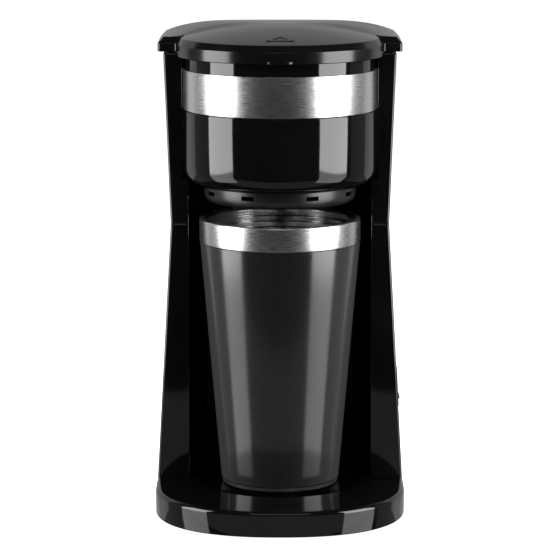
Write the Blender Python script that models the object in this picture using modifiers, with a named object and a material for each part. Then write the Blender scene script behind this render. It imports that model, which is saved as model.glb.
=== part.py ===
# One-cup drip coffee maker with its travel mug, in metres, +Z up, front towards -Y.
# The mug, the filter holder and the alcove share the Z axis.

import math

import bmesh
import bpy
from mathutils import Matrix, Vector

# Clearances and stock
gap = 0.0003
hinge_gap = 0.0001
wall = 0.0022
plate_wall = 0.0020
thin_wall = 0.0010
overrun = 0.010

# Facets
round_steps = 40
small_steps = 10
rod_sides = 20
big_corner_steps = 5
small_corner_steps = 2
front_steps = 20
lobe_steps = 20
big_corner = 0.002

# Travel mug
mug_height = 0.1640
mug_radius = 0.0490
mug_mouth_radius = 0.0448
mug_base_radius = 0.0360
rim_band_height = 0.0145
mug_foot_height = 0.0022
liner_floor = 0.0060
thread_depth = 0.0008
thread_height = 0.0035

# Base
base_height = 0.0170
base_front = 0.0870
base_widest = 0.0150
base_power = 2.3
base_lip = 0.0005
back_lip = 0.0015
base_fillet = 0.0025
base_plate = 0.0025
skirt_bottom = 0.0015
recess_depth = 0.0008
recess_margin = 0.0135
cover_bottom = 0.0035
foot_radius = 0.0080
foot_stem_radius = 0.0026
foot_x = 0.0500
foot_front_y = -0.0480
foot_back_y = 0.0620

# Body
alcove_margin = 0.0065
foot_arm = 0.0200
seam_arm = 0.0111
top_arm = 0.0151
seam_drop = 0.0045
duct_depth = 0.0253
service_shift = 0.0015
rear_radius = 0.0380
edge_radius = 0.0015
tank_floor_rise = 0.0040

# Filter holder
headroom = 0.0100
collar_height = 0.0104
collar_radius = 0.0460
collar_outlet = 0.0090
slot_width = 0.0080
slot_height = 0.0026
slot_angles = (25, 64, 116, 155)
holder_height = 0.0778
holder_margin = 0.0032
holder_corner = 0.0100
holder_hole = 0.0320
holder_rim_radius = 0.0572
band_drop = 0.0079
band_height = 0.0242
band_thickness = 0.0006
basket_ledge_drop = 0.0070
basket_base_radius = 0.0400
basket_rise = 0.0071
spout_length = 0.0140
spout_radius = 0.0080
filter_base_radius = 0.0360

# Lid
lid_gap = 0.0010
lid_overhang = 0.0034
lobe_radius = 0.0629
lid_side = 0.0050
lid_edge = 0.0034
lid_edge_rise = 0.0038
lid_crown = 0.0089
crown_centre = 0.0120
crown_share_front = 2.0
crown_share_rear = 5.0
crown_shift = Vector((-0.0050, 0.0350))
skirt_drop = 0.0020
skirt_end = 0.0005
lid_pivot_rise = 0.0040
lid_pivot_inset = 0.0030
ear_x = 0.0290
ear_width = 0.0040
ear_radius = 0.0029
pin_radius = 0.0015
tab_radius = 0.0140
tab_reach = 0.0016
tab_height = 0.0012
splash_radius = 0.0360

# Water path
heater_x = 0.0200
heater_radius = 0.0075
tube_radius = 0.0035
tube_bore = 0.0024
heater_bottom = 0.0500
heater_top = 0.1280
heater_tube_rise = 0.0140
pad_bottom = 0.0840
pad_height = 0.0320
pad_depth = 0.0100
hose_radius = 0.0050
hose_overlap = 0.0080
hose_bend = 0.0060
arm_radius = 0.0021
arm_bore = 0.0014
arm_reach = 0.0060
valve_radius = 0.0055
valve_length = 0.0280
ball_radius = 0.0030
chamber_radius = 0.0036
flange_radius = 0.0085

# Electrics
switch_height = 0.0700
switch_y = 0.0300
switch_half = Vector((0.0062, 0.0102))
bezel_border = 0.0023
bezel_thickness = 0.0006
bezel_wall = 0.0012
switch_depth = 0.0090
rocker_tilt = math.radians(7)
gland_height = 0.0300
gland_radius = 0.0047
wire_radius = 0.0012
wire_bend = 0.0040
thermostat_share = 0.70
thermostat_radius = 0.0070
thermostat_depth = 0.0055
fuse_share = 0.15
fuse_radius = 0.0025
fuse_half = 0.0070
terminal_size = Vector((0.0220, 0.0140, 0.0120))
terminal_x = 0.0120
terminal_bore = 0.0020

# Screws
screw_radius = 0.0015
screw_head_radius = 0.0030
screw_head = 0.0018
boss_radius = 0.0040
pillar_radius = 0.0045
pillar_x = 0.0420
pillar_low = 0.0450
pillar_drop = 0.0160
pillar_seat = 0.0080
short_screw = 0.0080

# Places worked out from the sizes above
mug_bottom = base_height - recess_depth + gap
mug_top = mug_bottom + mug_height
collar_bottom = mug_top + headroom
collar_top = collar_bottom + collar_height
holder_bottom = collar_top + gap
holder_top = holder_bottom + holder_height
alcove_radius = mug_radius + alcove_margin
holder_radius = alcove_radius + holder_margin
bay_radius = holder_radius + gap
body_bottom = base_height + gap
seam = mug_top - seam_drop
column_top = seam - gap
body_top = holder_top + lid_gap
split_y = alcove_radius + wall + gap
back_face = split_y + duct_depth + wall
service_y = split_y + duct_depth / 2 + service_shift
base_half_width = alcove_radius + foot_arm + base_lip
base_back = back_face + back_lip
tank_floor = seam + tank_floor_rise
lid_bottom = body_top + lid_gap
pivot = Vector((0, back_face - lid_pivot_inset, lid_bottom + lid_pivot_rise))
arm_height = lid_bottom + tube_radius
riser_top = lid_bottom - plate_wall
heater_tube_top = heater_top + heater_tube_rise

finishes = {
    "gloss": ((0.010, 0.010, 0.011), 0.12, 0.0),
    "satin": ((0.030, 0.031, 0.033), 0.32, 0.4),
    "inner": ((0.025, 0.025, 0.026), 0.45, 0.0),
    "steel": ((0.600, 0.600, 0.610), 0.28, 1.0),
    "aluminium": ((0.700, 0.710, 0.720), 0.45, 1.0),
    "rubber": ((0.030, 0.030, 0.030), 0.85, 0.0),
    "silicone": ((0.750, 0.740, 0.700), 0.55, 0.0),
    "ceramic": ((0.850, 0.840, 0.800), 0.50, 0.0),
    "mesh": ((0.450, 0.360, 0.160), 0.40, 0.6),
    "wire": ((0.250, 0.080, 0.030), 0.50, 0.0),
}

for old in list(bpy.data.objects):
    bpy.data.objects.remove(old)

product = bpy.data.collections.new("drip_coffee_maker")
cutters = bpy.data.collections.new("cutters")
bpy.context.scene.collection.children.link(product)
bpy.context.scene.collection.children.link(cutters)


# Tools

def paint(obj, finish):
    colour, roughness, metallic = finishes[finish]
    material = bpy.data.materials.new(obj.name)
    material.use_nodes = True
    shader = material.node_tree.nodes["Principled BSDF"]
    shader.inputs["Base Color"].default_value = (*colour, 1)
    shader.inputs["Roughness"].default_value = roughness
    shader.inputs["Metallic"].default_value = metallic
    obj.data.materials.append(material)


def place(name, data, finish):
    obj = bpy.data.objects.new(name, data)
    if finish:
        product.objects.link(obj)
        paint(obj, finish)
        return obj
    cutters.objects.link(obj)
    obj.hide_render = True
    obj.display_type = "WIRE"
    return obj


def mesh_from(name, bm, finish):
    bmesh.ops.recalc_face_normals(bm, faces=bm.faces)
    mesh = bpy.data.meshes.new(name)
    bm.to_mesh(mesh)
    bm.free()
    mesh.shade_smooth()
    mesh.set_sharp_from_angle(angle=math.radians(30))
    return place(name, mesh, finish)


def boolean(obj, other, operation):
    modifier = obj.modifiers.new(other.name, "BOOLEAN")
    modifier.operation = operation
    modifier.solver = "EXACT"
    modifier.object = other


def cut(obj, *others):
    for other in others:
        boolean(obj, other, "DIFFERENCE")


def join(obj, *others):
    for other in others:
        boolean(obj, other, "UNION")


def block(name, low, high, finish=None):
    low = Vector(low)
    high = Vector(high)
    bm = bmesh.new()
    bmesh.ops.create_cube(bm, size=1)
    bmesh.ops.scale(bm, vec=high - low, verts=bm.verts)
    bmesh.ops.translate(bm, vec=(low + high) / 2, verts=bm.verts)
    return mesh_from(name, bm, finish)


def rod(name, start, end, radius, finish=None, sides=rod_sides):
    start = Vector(start)
    run = Vector(end) - start
    turn = run.to_track_quat("Z", "Y").to_matrix().to_4x4()
    middle = Matrix.Translation(start + run / 2) @ turn
    bm = bmesh.new()
    bmesh.ops.create_cone(
        bm, cap_ends=True, segments=sides, radius1=radius, radius2=radius, depth=run.length, matrix=middle
    )
    return mesh_from(name, bm, finish)


def disc(name, radius, low, high, x=0.0, y=0.0, sides=rod_sides):
    return rod(name, (x, y, low), (x, y, high), radius, sides=sides)


# A profile runs down its outer side, (radius, height) from the top.
def turned(name, profile, finish=None, steps=round_steps, at=(0, 0, 0), turn=None):
    closed = all(radius > 0 for radius, height in profile)
    count = len(profile)
    edges = [(i, (i + 1) % count) for i in range(count if closed else count - 1)]
    mesh = bpy.data.meshes.new(name)
    mesh.from_pydata([(radius, 0, height) for radius, height in profile], edges, [])
    obj = place(name, mesh, finish)
    screw = obj.modifiers.new("turn", "SCREW")
    screw.steps = steps
    screw.render_steps = steps
    screw.use_merge_vertices = True
    screw.merge_threshold = 0.00001
    obj.matrix_world = Matrix.Translation(at) @ (turn or Matrix.Identity(4))
    return obj


def fillet(before, corner, after, radius, steps):
    if radius <= 0:
        return [corner]
    back = (before - corner).normalized()
    ahead = (after - corner).normalized()
    half = back.angle(ahead) / 2
    reach = radius / math.tan(half)
    centre = corner + (back + ahead).normalized() * radius / math.sin(half)
    start = (corner + back * reach - centre).normalized()
    end = (corner + ahead * reach - centre).normalized()
    return [centre + start.slerp(end, step / steps) * radius for step in range(steps + 1)]


# Corners are (x, y, radius), anticlockwise from above.
def rounded_outline(corners):
    spots = [Vector((x, y)) for x, y, radius in corners]
    points = []
    for i, (x, y, radius) in enumerate(corners):
        steps = big_corner_steps if radius > big_corner else small_corner_steps
        points += fillet(spots[i - 1], spots[i], spots[(i + 1) % len(spots)], radius, steps)
    return points


# Loops of 3D points from the bottom up, all with the same number of points.
def skin_over(name, loops, finish=None):
    bm = bmesh.new()
    rows = [[bm.verts.new(point) for point in loop] for loop in loops]
    for low, high in zip(rows, rows[1:]):
        for i in range(len(low)):
            bm.faces.new((low[i - 1], low[i], high[i], high[i - 1]))
    bm.faces.new(rows[0])
    bm.faces.new(rows[-1])
    return mesh_from(name, bm, finish)


# Rings are (outline, height) from the bottom up.
def loft(name, rings, finish=None):
    loops = [[(x, y, height) for x, y in outline] for outline, height in rings]
    return skin_over(name, loops, finish)


def path_curve(name, points, radius, capped):
    curve = bpy.data.curves.new(name, "CURVE")
    curve.dimensions = "3D"
    curve.bevel_depth = radius
    curve.bevel_resolution = 2
    curve.use_fill_caps = capped
    spline = curve.splines.new("POLY")
    spline.points.add(len(points) - 1)
    for spot, point in zip(spline.points, points):
        spot.co = (*point, 1)
    return curve


def rounded_path(points, radius, steps=4):
    spots = [Vector(point) for point in points]
    path = [spots[0]]
    for before, corner, after in zip(spots, spots[1:], spots[2:]):
        path += fillet(before, corner, after, radius, steps)
    return path + [spots[-1]]


def pipe(name, points, radius, bore, finish):
    curve = path_curve(name, points, radius, False)
    guide = bpy.data.objects.new(name + "_path", curve)
    cutters.objects.link(guide)
    graph = bpy.context.evaluated_depsgraph_get()
    mesh = bpy.data.meshes.new_from_object(guide.evaluated_get(graph))
    bpy.data.objects.remove(guide)
    obj = place(name, mesh, finish)
    skin = obj.modifiers.new("wall", "SOLIDIFY")
    skin.thickness = radius - bore
    skin.offset = -1
    return obj


# Local X, Y and Z become world Y, Z and X.
sideways = Matrix(((0, 0, 1, 0), (1, 0, 0, 0), (0, 1, 0, 0), (0, 0, 0, 1)))


# A round-ended lug about the lid's pivot, from the height base to just past the pin.
def lug(name, low_x, high_x, radius, base):
    tip = pivot.z + math.copysign(radius, pivot.z - base)
    near = pivot.y - radius
    far = pivot.y + radius
    end = radius * 0.98
    outline = rounded_outline([(near, base, 0), (far, base, 0), (far, tip, end), (near, tip, end)])
    obj = loft(name, [(outline, low_x), (outline, high_x)])
    obj.matrix_world = sideways
    return obj


def wire(name, points, finish):
    return place(name, path_curve(name, rounded_path(points, wire_bend), wire_radius, True), finish)


# Screws run from their head's inner face at seat, along aim, for length.
def screw(name, seat, aim, length):
    profile = [
        (0, 0), (screw_radius, 0), (screw_radius, -length),
        (screw_head_radius, -length), (screw_head_radius, -length - screw_head), (0, -length - screw_head),
    ]
    aim = Vector(aim)
    turn = aim.to_track_quat("Z", "Y").to_matrix().to_4x4()
    return turned(name, profile, "steel", small_steps, Vector(seat) + aim * length, turn)


# Outlines

def body_outline(half_width, inset=0.0):
    side = half_width - inset
    back = back_face - inset
    return rounded_outline([
        (side, inset, edge_radius),
        (side, back, rear_radius - inset),
        (-side, back, rear_radius - inset),
        (-side, inset, edge_radius),
    ])


def base_outline(inset=0.0):
    side = base_half_width - inset
    depth = base_front - base_widest - inset
    back = base_back - inset
    corner = rear_radius + base_lip - inset
    corners = []
    for step in range(front_steps + 1):
        angle = math.pi * step / front_steps
        across = math.copysign(abs(math.cos(angle)) ** (2 / base_power), math.cos(angle))
        ahead = abs(math.sin(angle)) ** (2 / base_power)
        corners.append((-side * across, -base_widest - depth * ahead, 0))
    return rounded_outline(corners + [(side, back, corner), (-side, back, corner)])


def lid_outline(inset=0.0):
    side = alcove_radius + top_arm + lid_overhang - inset
    back = back_face - inset
    lobe = lobe_radius - inset
    start = math.asin(inset / lobe)
    corners = [
        (side, inset, edge_radius),
        (side, back, rear_radius - inset),
        (-side, back, rear_radius - inset),
        (-side, inset, edge_radius),
    ]
    sweep = math.pi + 2 * start
    for step in range(lobe_steps + 1):
        angle = math.pi - start + sweep * step / lobe_steps
        corners.append((lobe * math.cos(angle), lobe * math.sin(angle), 0))
    return rounded_outline(corners)


def half_width_at(height):
    along = (height - body_bottom) / (seam - body_bottom)
    return alcove_radius + foot_arm + (seam_arm - foot_arm) * along


def body_loft(name, low, high, low_arm, high_arm, inset=0.0, finish=None):
    rings = [
        (body_outline(alcove_radius + low_arm, inset), low),
        (body_outline(alcove_radius + high_arm, inset), high),
    ]
    return loft(name, rings, finish)


# Where the screws go

def column_screw_spots():
    front = alcove_radius + wall + pillar_radius + boss_radius - gap
    radius = front + foot_arm / 2 - gap
    angle = math.radians(40)
    spots = []
    for side, tag in ((-1, "left"), (1, "right")):
        spots.append((tag + "_front", side * front, base_height + thin_wall))
        spots.append((tag + "_rear", side * radius * math.cos(angle), radius * math.sin(angle)))
    return spots


def pillar_spots():
    heights = (("low", pillar_low), ("high", seam - pillar_drop))
    sides = (("left", -pillar_x), ("right", pillar_x))
    return [(side + "_" + level, x, height) for side, x in sides for level, height in heights]


# Pieces

def make_base():
    steps = 3
    rings = [(base_outline(), skirt_bottom)]
    for step in range(steps + 1):
        angle = math.pi / 2 * step / steps
        inset = base_fillet * (1 - math.cos(angle))
        rings.append((base_outline(inset), base_height - base_fillet * (1 - math.sin(angle))))
    base = loft("base_top", rings, "gloss")
    under = base_height - base_plate
    inside = [(base_outline(wall), skirt_bottom - overrun), (base_outline(wall), under)]
    cut(base, loft("base_inside", inside))
    recess = mug_base_radius + recess_margin
    floor = base_height - recess_depth
    cut(base, disc("mug_recess", recess, floor, base_height + overrun, sides=round_steps))
    for tag, x, y in column_screw_spots():
        cut(base, disc("base_hole_" + tag, screw_radius + gap, under - overrun, base_height + overrun, x, y))
        seat = (x, y, under - gap)
        screw("base_screw_" + tag, seat, (0, 0, 1), body_bottom - under + pillar_radius + boss_radius)


def make_bottom_cover():
    inset = wall + gap
    top = cover_bottom + plate_wall
    rings = [(base_outline(inset), cover_bottom), (base_outline(inset), top)]
    cover = loft("base_bottom_cover", rings, "inner")
    neck = foot_stem_radius
    barb = neck + thin_wall
    for side, tag in ((-1, "left"), (1, "right")):
        for y, end in ((foot_front_y, "front"), (foot_back_y, "rear")):
            name = tag + "_" + end
            cut(cover, disc("foot_hole_" + name, neck + gap, 0, top + overrun, side * foot_x, y))
            profile = [
                (0, top + plate_wall), (barb, top + plate_wall), (barb, top + gap), (neck, top + gap),
                (neck, cover_bottom - gap), (foot_radius, cover_bottom - gap),
                (foot_radius, thin_wall), (foot_radius - thin_wall, 0), (0, 0),
            ]
            turned("foot_" + name, profile, "rubber", small_steps, (side * foot_x, y, 0))


def make_column_front():
    column = body_loft("column_front", body_bottom, column_top, foot_arm, seam_arm, 0, "gloss")
    low = body_bottom + plate_wall
    high = column_top - plate_wall
    inside = body_loft("column_inside", low, high, foot_arm, seam_arm, wall)
    cut(inside, disc("alcove_wall", alcove_radius + wall, 0, body_top, sides=round_steps))
    boss_top = body_bottom + pillar_radius + boss_radius + 2 * gap + plate_wall
    for tag, x, y in column_screw_spots():
        cut(inside, disc("column_boss_" + tag, boss_radius, 0, boss_top, x, y))
    for tag, x, height in pillar_spots():
        cut(inside, rod("column_post_" + tag, (x, 0, height), (x, split_y, height), pillar_radius))
    cut(column, inside)
    behind = split_y - gap
    cut(column, block("column_split", (-1, behind, -1), (1, 1, 1)))
    for side, tag in ((-1, "left"), (1, "right")):
        x = side * (heater_x + pillar_radius + heater_radius)
        height = pad_bottom + pad_height / 2
        end = service_y - heater_radius - thin_wall - 2 * gap - gap
        start = alcove_radius * math.cos(math.asin(x / alcove_radius)) - boss_radius
        join(column, rod("bracket_boss_" + tag, (x, start, height), (x, end, height), boss_radius))
    alcove = disc("alcove", alcove_radius, 0, body_top, sides=round_steps)
    cut(column, alcove)
    cut_column_bores(column, boss_top)
    return alcove


def cut_column_bores(column, boss_top):
    bore = screw_radius + gap
    for tag, x, y in column_screw_spots():
        cut(column, disc("column_bore_" + tag, bore, 0, boss_top - thin_wall, x, y))
    for tag, x, height in pillar_spots():
        start = split_y - pillar_x / 4
        cut(column, rod("post_bore_" + tag, (x, start, height), (x, back_face, height), bore))
    for side, tag in ((-1, "left"), (1, "right")):
        x = side * (heater_x + pillar_radius + heater_radius)
        height = pad_bottom + pad_height / 2
        start = (x, split_y - boss_radius, height)
        cut(column, rod("bracket_bore_" + tag, start, (x, back_face, height), bore))
    for tag, x, y in housing_screw_spots():
        cut(column, disc("roof_hole_" + tag, bore, column_top - overrun / 2, column_top + overrun / 2, x, y))
    cut(column, switch_cutter())


def housing_screw_spots():
    x = alcove_radius + seam_arm / 2 - thin_wall / 2
    y = base_height - thin_wall
    return (("left", -x, y), ("right", x, y))


def make_rear_cover():
    cover = body_loft("rear_cover", body_bottom, column_top, foot_arm, seam_arm, 0, "gloss")
    inside = body_loft("rear_inside", body_bottom - overrun, column_top + overrun, foot_arm, seam_arm, wall)
    for tag, x, height in pillar_spots():
        cut(inside, rod("rear_pillar_" + tag, (x, split_y, height), (x, 1, height), pillar_radius))
    cut(cover, inside)
    cut(cover, block("rear_split", (-1, -1, -1), (1, split_y, 1)))
    seat = split_y + pillar_seat
    for tag, x, height in pillar_spots():
        start = (x, split_y - overrun, height)
        cut(cover, rod("pillar_bore_" + tag, start, (x, back_face, height), screw_radius + gap))
        well = screw_head_radius + 2 * gap
        cut(cover, rod("pillar_well_" + tag, (x, seat, height), (x, back_face + overrun, height), well))
        screw("rear_screw_" + tag, (x, seat + gap, height), (0, -1, 0), 2 * pillar_seat)
    start = (0, back_face - overrun, gland_height)
    cut(cover, rod("gland_hole", start, (0, back_face + overrun, gland_height), gland_radius + gap))


def make_gland():
    inner = back_face - wall - gap
    flange = gland_radius + plate_wall
    bore = gland_radius - thin_wall
    outer = base_back - gap
    profile = [
        (flange, outer), (flange, back_face + gap), (gland_radius, back_face + gap), (gland_radius, inner),
        (flange, inner), (flange, inner - thin_wall), (bore, inner - thin_wall), (bore, outer),
    ]
    turn = Matrix.Rotation(math.radians(-90), 4, "X")
    turned("cord_gland", profile, "rubber", 24, (0, 0, gland_height), turn)


def make_housing(alcove):
    housing = body_loft("upper_housing", seam, body_top, seam_arm, top_arm, 0, "gloss")
    ledge = holder_bottom + holder_corner / 4
    cut(housing, disc("bay", bay_radius, ledge, body_top + overrun, sides=round_steps))
    cut(housing, alcove)
    tank = body_loft("tank", tank_floor + wall, body_top + overrun, seam_arm, top_arm, wall)
    cut(tank, disc("tank_front", bay_radius + wall, 0, 1, sides=round_steps))
    cut(housing, tank)
    under = body_loft("under_floor", seam - overrun, tank_floor, seam_arm, seam_arm, wall)
    cut(under, disc("under_floor_front", alcove_radius + wall, 0, 1, sides=round_steps))
    for tag, x, y in housing_screw_spots():
        cut(under, disc("housing_boss_" + tag, boss_radius - thin_wall / 2, 0, 1, x, y))
    cut(housing, under)
    for tag, x, y in housing_screw_spots():
        top = tank_floor + gap
        cut(housing, disc("housing_bore_" + tag, screw_radius + gap, 0, top, x, y))
        seat = (x, y, column_top - plate_wall - gap)
        screw("housing_screw_" + tag, seat, (0, 0, 1), top - thin_wall - seat[2])
    cut(housing, disc("valve_hole", valve_radius + gap, 0, tank_floor + overrun, -heater_x, service_y))
    cut(housing, disc("riser_hole", tube_radius + gap, 0, tank_floor + overrun, 0, service_y))
    add_ears(housing)


def add_ears(housing):
    for side, tag in ((-1, "left"), (1, "right")):
        near = side * ear_x - ear_width / 2
        far = near + ear_width
        join(housing, lug("ear_" + tag, near, far, ear_radius, body_top - overrun))
        start = (near - overrun / 2, pivot.y, pivot.z)
        end = (far + overrun / 2, pivot.y, pivot.z)
        cut(housing, rod("ear_bore_" + tag, start, end, pin_radius + hinge_gap))


def make_holder():
    groove = holder_radius - 3 * gap - band_thickness + gap
    inner = groove - wall
    ledge = holder_top - basket_ledge_drop
    high = holder_top - band_drop
    low = high - band_height
    corner = holder_corner
    inner_corner = corner - wall
    centre = holder_bottom + corner
    profile = [
        (holder_rim_radius, holder_top), (holder_rim_radius, high + gap), (groove, high + gap),
        (groove, low - gap), (holder_radius, low - gap),
    ]
    for step in range(5):
        angle = math.pi / 2 * step / 4
        spot = holder_radius - corner + corner * math.cos(angle)
        profile.append((spot, centre - corner * math.sin(angle)))
    profile.append((holder_hole, holder_bottom))
    profile.append((holder_hole, holder_bottom + wall))
    for step in (4, 2, 0):
        angle = math.pi / 2 * step / 4
        spot = inner - inner_corner + inner_corner * math.cos(angle)
        profile.append((spot, centre - inner_corner * math.sin(angle)))
    shelf = inner - wall - thin_wall
    profile += [
        (inner, ledge - 0.005), (shelf, ledge - 0.0025), (shelf, ledge), (inner, ledge), (inner, holder_top),
    ]
    turned("filter_holder", profile, "gloss")
    outer = holder_radius - gap
    bore = outer - band_thickness
    band = [(outer, high), (outer, low), (bore, low), (bore, high)]
    turned("holder_steel_band", band, "steel", 48)
    return inner, shelf, ledge


def make_collar():
    round_off = (collar_top - collar_bottom) * 0.4
    ring = holder_hole - gap
    inner = collar_radius - wall
    profile = [
        (ring, collar_top + wall), (ring, collar_top), (collar_radius, collar_top),
        (collar_radius, collar_bottom + round_off), (collar_radius - 0.0014, collar_bottom + thin_wall),
        (collar_radius - 0.006, collar_bottom), (collar_outlet, collar_bottom),
        (collar_outlet, collar_bottom + wall), (inner - 0.004, collar_bottom + wall),
        (inner, collar_bottom + round_off + thin_wall), (inner, collar_top - wall),
        (ring - wall, collar_top - wall), (ring - wall, collar_top + wall),
    ]
    collar = turned("drip_collar", profile, "gloss")
    middle = collar_top - wall - slot_height / 2 - gap
    for side in (-1, 1):
        for degrees in slot_angles:
            turn = math.radians(side * degrees - 90)
            name = f"slot_{'left' if side < 0 else 'right'}_{degrees}"
            low = (inner - wall, -slot_width / 2, middle - slot_height / 2)
            slot = block(name, low, (collar_radius + wall, slot_width / 2, middle + slot_height / 2))
            slot.rotation_euler.z = turn
            cut(collar, slot)


def make_basket(inner, shelf, ledge):
    rim = ledge + gap
    flange = inner - gap
    outer = shelf - gap
    bottom = holder_bottom + basket_rise
    bore = spout_radius - wall
    thick = plate_wall
    profile = [
        (flange, rim + thick), (flange, rim), (outer, rim), (basket_base_radius, bottom),
        (spout_radius, bottom), (spout_radius, bottom - spout_length), (bore, bottom - spout_length),
        (bore, bottom + thick), (basket_base_radius - thick, bottom + thick), (outer - thick, rim),
        (outer - thick, rim + thick),
    ]
    turned("filter_basket", profile, "inner", 40)
    top = rim + thick + gap
    skin = thin_wall * 0.8
    wide = outer - thick - gap
    low = bottom + 2 * thick + thin_wall
    profile = [
        (wide + wall, top + skin), (wide + wall, top), (wide, top), (filter_base_radius, low), (0, low),
        (0, low + skin), (filter_base_radius - skin, low + skin), (wide - skin, top),
        (wide - skin, top + skin),
    ]
    make_filter(profile)


def make_filter(profile):
    on_axis = [i for i, (radius, height) in enumerate(profile) if radius == 0]
    outside = profile[: on_axis[0] + 1]
    inside = profile[on_axis[1]:]
    turned("permanent_filter", inside + outside, "mesh", 32)


# How far along from the front of the crown to its rear a point is, 0 to 1, eased at both ends.
def crown_blend(y):
    along = (y - crown_shift.x) / (crown_shift.y - crown_shift.x)
    along = min(max(along, 0), 1)
    return along * along * (3 - 2 * along)


# Half the crown's width at y: the round lobe ahead, the straight sides behind, the round corners at the rear.
def crown_half_width(y):
    lobe = lobe_radius - lid_edge
    side = alcove_radius + top_arm + lid_overhang - lid_edge
    corner = rear_radius - lid_edge
    past = y - (back_face - rear_radius)
    if past > 0:
        return side - corner + math.sqrt(max(corner ** 2 - past ** 2, 0))
    front = math.sqrt(max(lobe ** 2 - min(y, 0) ** 2, 0))
    return front + (side - front) * crown_blend(y)


# The lid's top: level all round its edge, and crowned inside it.
def lid_top(x, y):
    half = crown_half_width(y)
    power = crown_share_front + (crown_share_rear - crown_share_front) * crown_blend(y)
    across = max(1 - (abs(x) / half) ** power, 0) if half > 0 else 0
    reach = crown_centre + lobe_radius - lid_edge if y < crown_centre else back_face - lid_edge - crown_centre
    ahead = max(1 - ((y - crown_centre) / reach) ** 2, 0)
    return lid_bottom + lid_side + lid_edge_rise + lid_crown * across * ahead


def lid_loops(inset, drop, low):
    side_top = lid_bottom + lid_side - drop
    edge = lid_outline(inset + lid_edge)
    loops = [[(x, y, low) for x, y in lid_outline(inset)], [(x, y, side_top) for x, y in lid_outline(inset)]]
    loops.append([(x, y, side_top + lid_edge_rise) for x, y in edge])
    centre = Vector((0, crown_centre))
    for share in (0.94, 0.82, 0.66, 0.46, 0.24, 0.08):
        ring = [centre + (point - centre) * share for point in edge]
        loops.append([(x, y, lid_top(x, y) - drop) for x, y in ring])
    return loops


def make_lid():
    skirt = lid_bottom - skirt_drop
    lid = skin_over("lid", lid_loops(0, 0, skirt), "gloss")
    cut(lid, block("skirt_end", (-1, -skirt_end, -1), (1, 1, lid_bottom)))
    tab_y = tab_radius - tab_reach - lobe_radius
    tab_low = skirt + gap
    join(lid, disc("finger_tab", tab_radius, tab_low, tab_low + tab_height, y=tab_y, sides=round_steps))
    inside = skin_over("lid_inside", lid_loops(wall, wall, skirt - overrun))
    for side, tag in ((-1, "left"), (1, "right")):
        near = side * (ear_x + ear_width + gap) - ear_width / 2
        cut(inside, lug("knuckle_" + tag, near, near + ear_width, ear_radius, 1))
    cut(lid, inside)
    moving = [lid]
    for side, tag in ((-1, "left"), (1, "right")):
        cut(lid, ear_notch(side, tag))
        middle = side * (ear_x + ear_width / 2 + gap)
        reach = ear_width - 2 * gap
        inner = Vector((middle - side * reach, pivot.y, pivot.z))
        outer = Vector((middle + side * reach, pivot.y, pivot.z))
        moving.append(rod("hinge_pin_" + tag, inner, outer, pin_radius, "steel"))
        outer.x += side * overrun
        cut(lid, rod("knuckle_bore_" + tag, inner, outer, pin_radius + hinge_gap))
    return moving


# Room for a housing ear to swing in, open at the rear.
def ear_notch(side, tag):
    room = ear_radius + 3 * gap
    near = side * (ear_x - ear_width / 2 - gap) - side * overrun / 5
    far = side * (ear_x + ear_width / 2 + gap)
    low = (min(near, far), pivot.y - room, lid_bottom - overrun)
    return block("ear_notch_" + tag, low, (max(near, far), back_face + overrun, pivot.z + room))


# Pieces that swing together hang from an empty on their axis.
def hang(name, spot, pieces):
    axis = bpy.data.objects.new(name, None)
    axis.location = spot
    product.objects.link(axis)
    for piece in pieces:
        piece.parent = axis
        piece.matrix_parent_inverse = Matrix.Translation(-spot)


def make_splash_plate():
    low = arm_height + arm_radius + plate_wall
    high = low + thin_wall
    stem = boss_radius
    ceiling = lid_top(stem, -stem) - wall - gap
    profile = [
        (0, ceiling), (stem, ceiling), (stem, high), (splash_radius, high), (splash_radius, low), (0, low),
    ]
    return turned("lid_splash_plate", profile, "inner", 32)


def make_mug():
    band_bottom = mug_top - rim_band_height
    shell_bottom = mug_bottom + mug_foot_height + gap
    seat = mug_radius - 2 * wall + gap
    band_bore = mug_radius - wall + gap
    profile = [
        (mug_radius - thin_wall, mug_top), (mug_radius, mug_top - thin_wall), (mug_radius, band_bottom),
        (band_bore, band_bottom), (band_bore, mug_top - wall), (seat + wall, mug_top - thin_wall),
        (seat + wall, mug_top),
    ]
    turned("mug_rim_band", profile, "steel", 48)
    outer = mug_radius - gap
    skin = plate_wall
    profile = [
        (outer, band_bottom - gap), (mug_base_radius, shell_bottom), (0, shell_bottom),
        (0, shell_bottom + skin), (mug_base_radius - skin, shell_bottom + skin),
        (outer - skin, band_bottom - gap),
    ]
    turned("mug_shell", profile[3:] + profile[:3], "satin", 48)
    make_liner(shell_bottom + skin)
    profile = [
        (mug_base_radius - gap, shell_bottom - gap), (mug_base_radius - thin_wall, mug_bottom),
        (mug_base_radius * 0.7, mug_bottom), (mug_base_radius * 0.65, shell_bottom - gap),
    ]
    turned("mug_foot", profile, "rubber", 32)


def make_liner(shell_floor):
    floor = shell_floor + liner_floor
    mouth = mug_mouth_radius
    skin = thin_wall
    base = mug_base_radius - plate_wall - 2 * thin_wall
    step = thread_depth
    lip = mug_top - thin_wall
    outside = [
        (mouth + skin, mug_top - gap), (mouth + skin, lip - 4 * thread_height),
        (base + skin, floor), (0, floor),
    ]
    inside = [(0, floor + skin), (base, floor + skin), (mouth - step, lip - 4 * thread_height + skin)]
    for turn in range(3):
        low = lip - (3.4 - turn) * thread_height
        inside += [(mouth - step, low), (mouth, low + step)]
        inside += [(mouth, low + 2 * step), (mouth - step, low + 3 * step)]
    inside += [(mouth, lip), (mouth, mug_top - gap)]
    turned("mug_liner", inside + outside, "steel")


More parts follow.
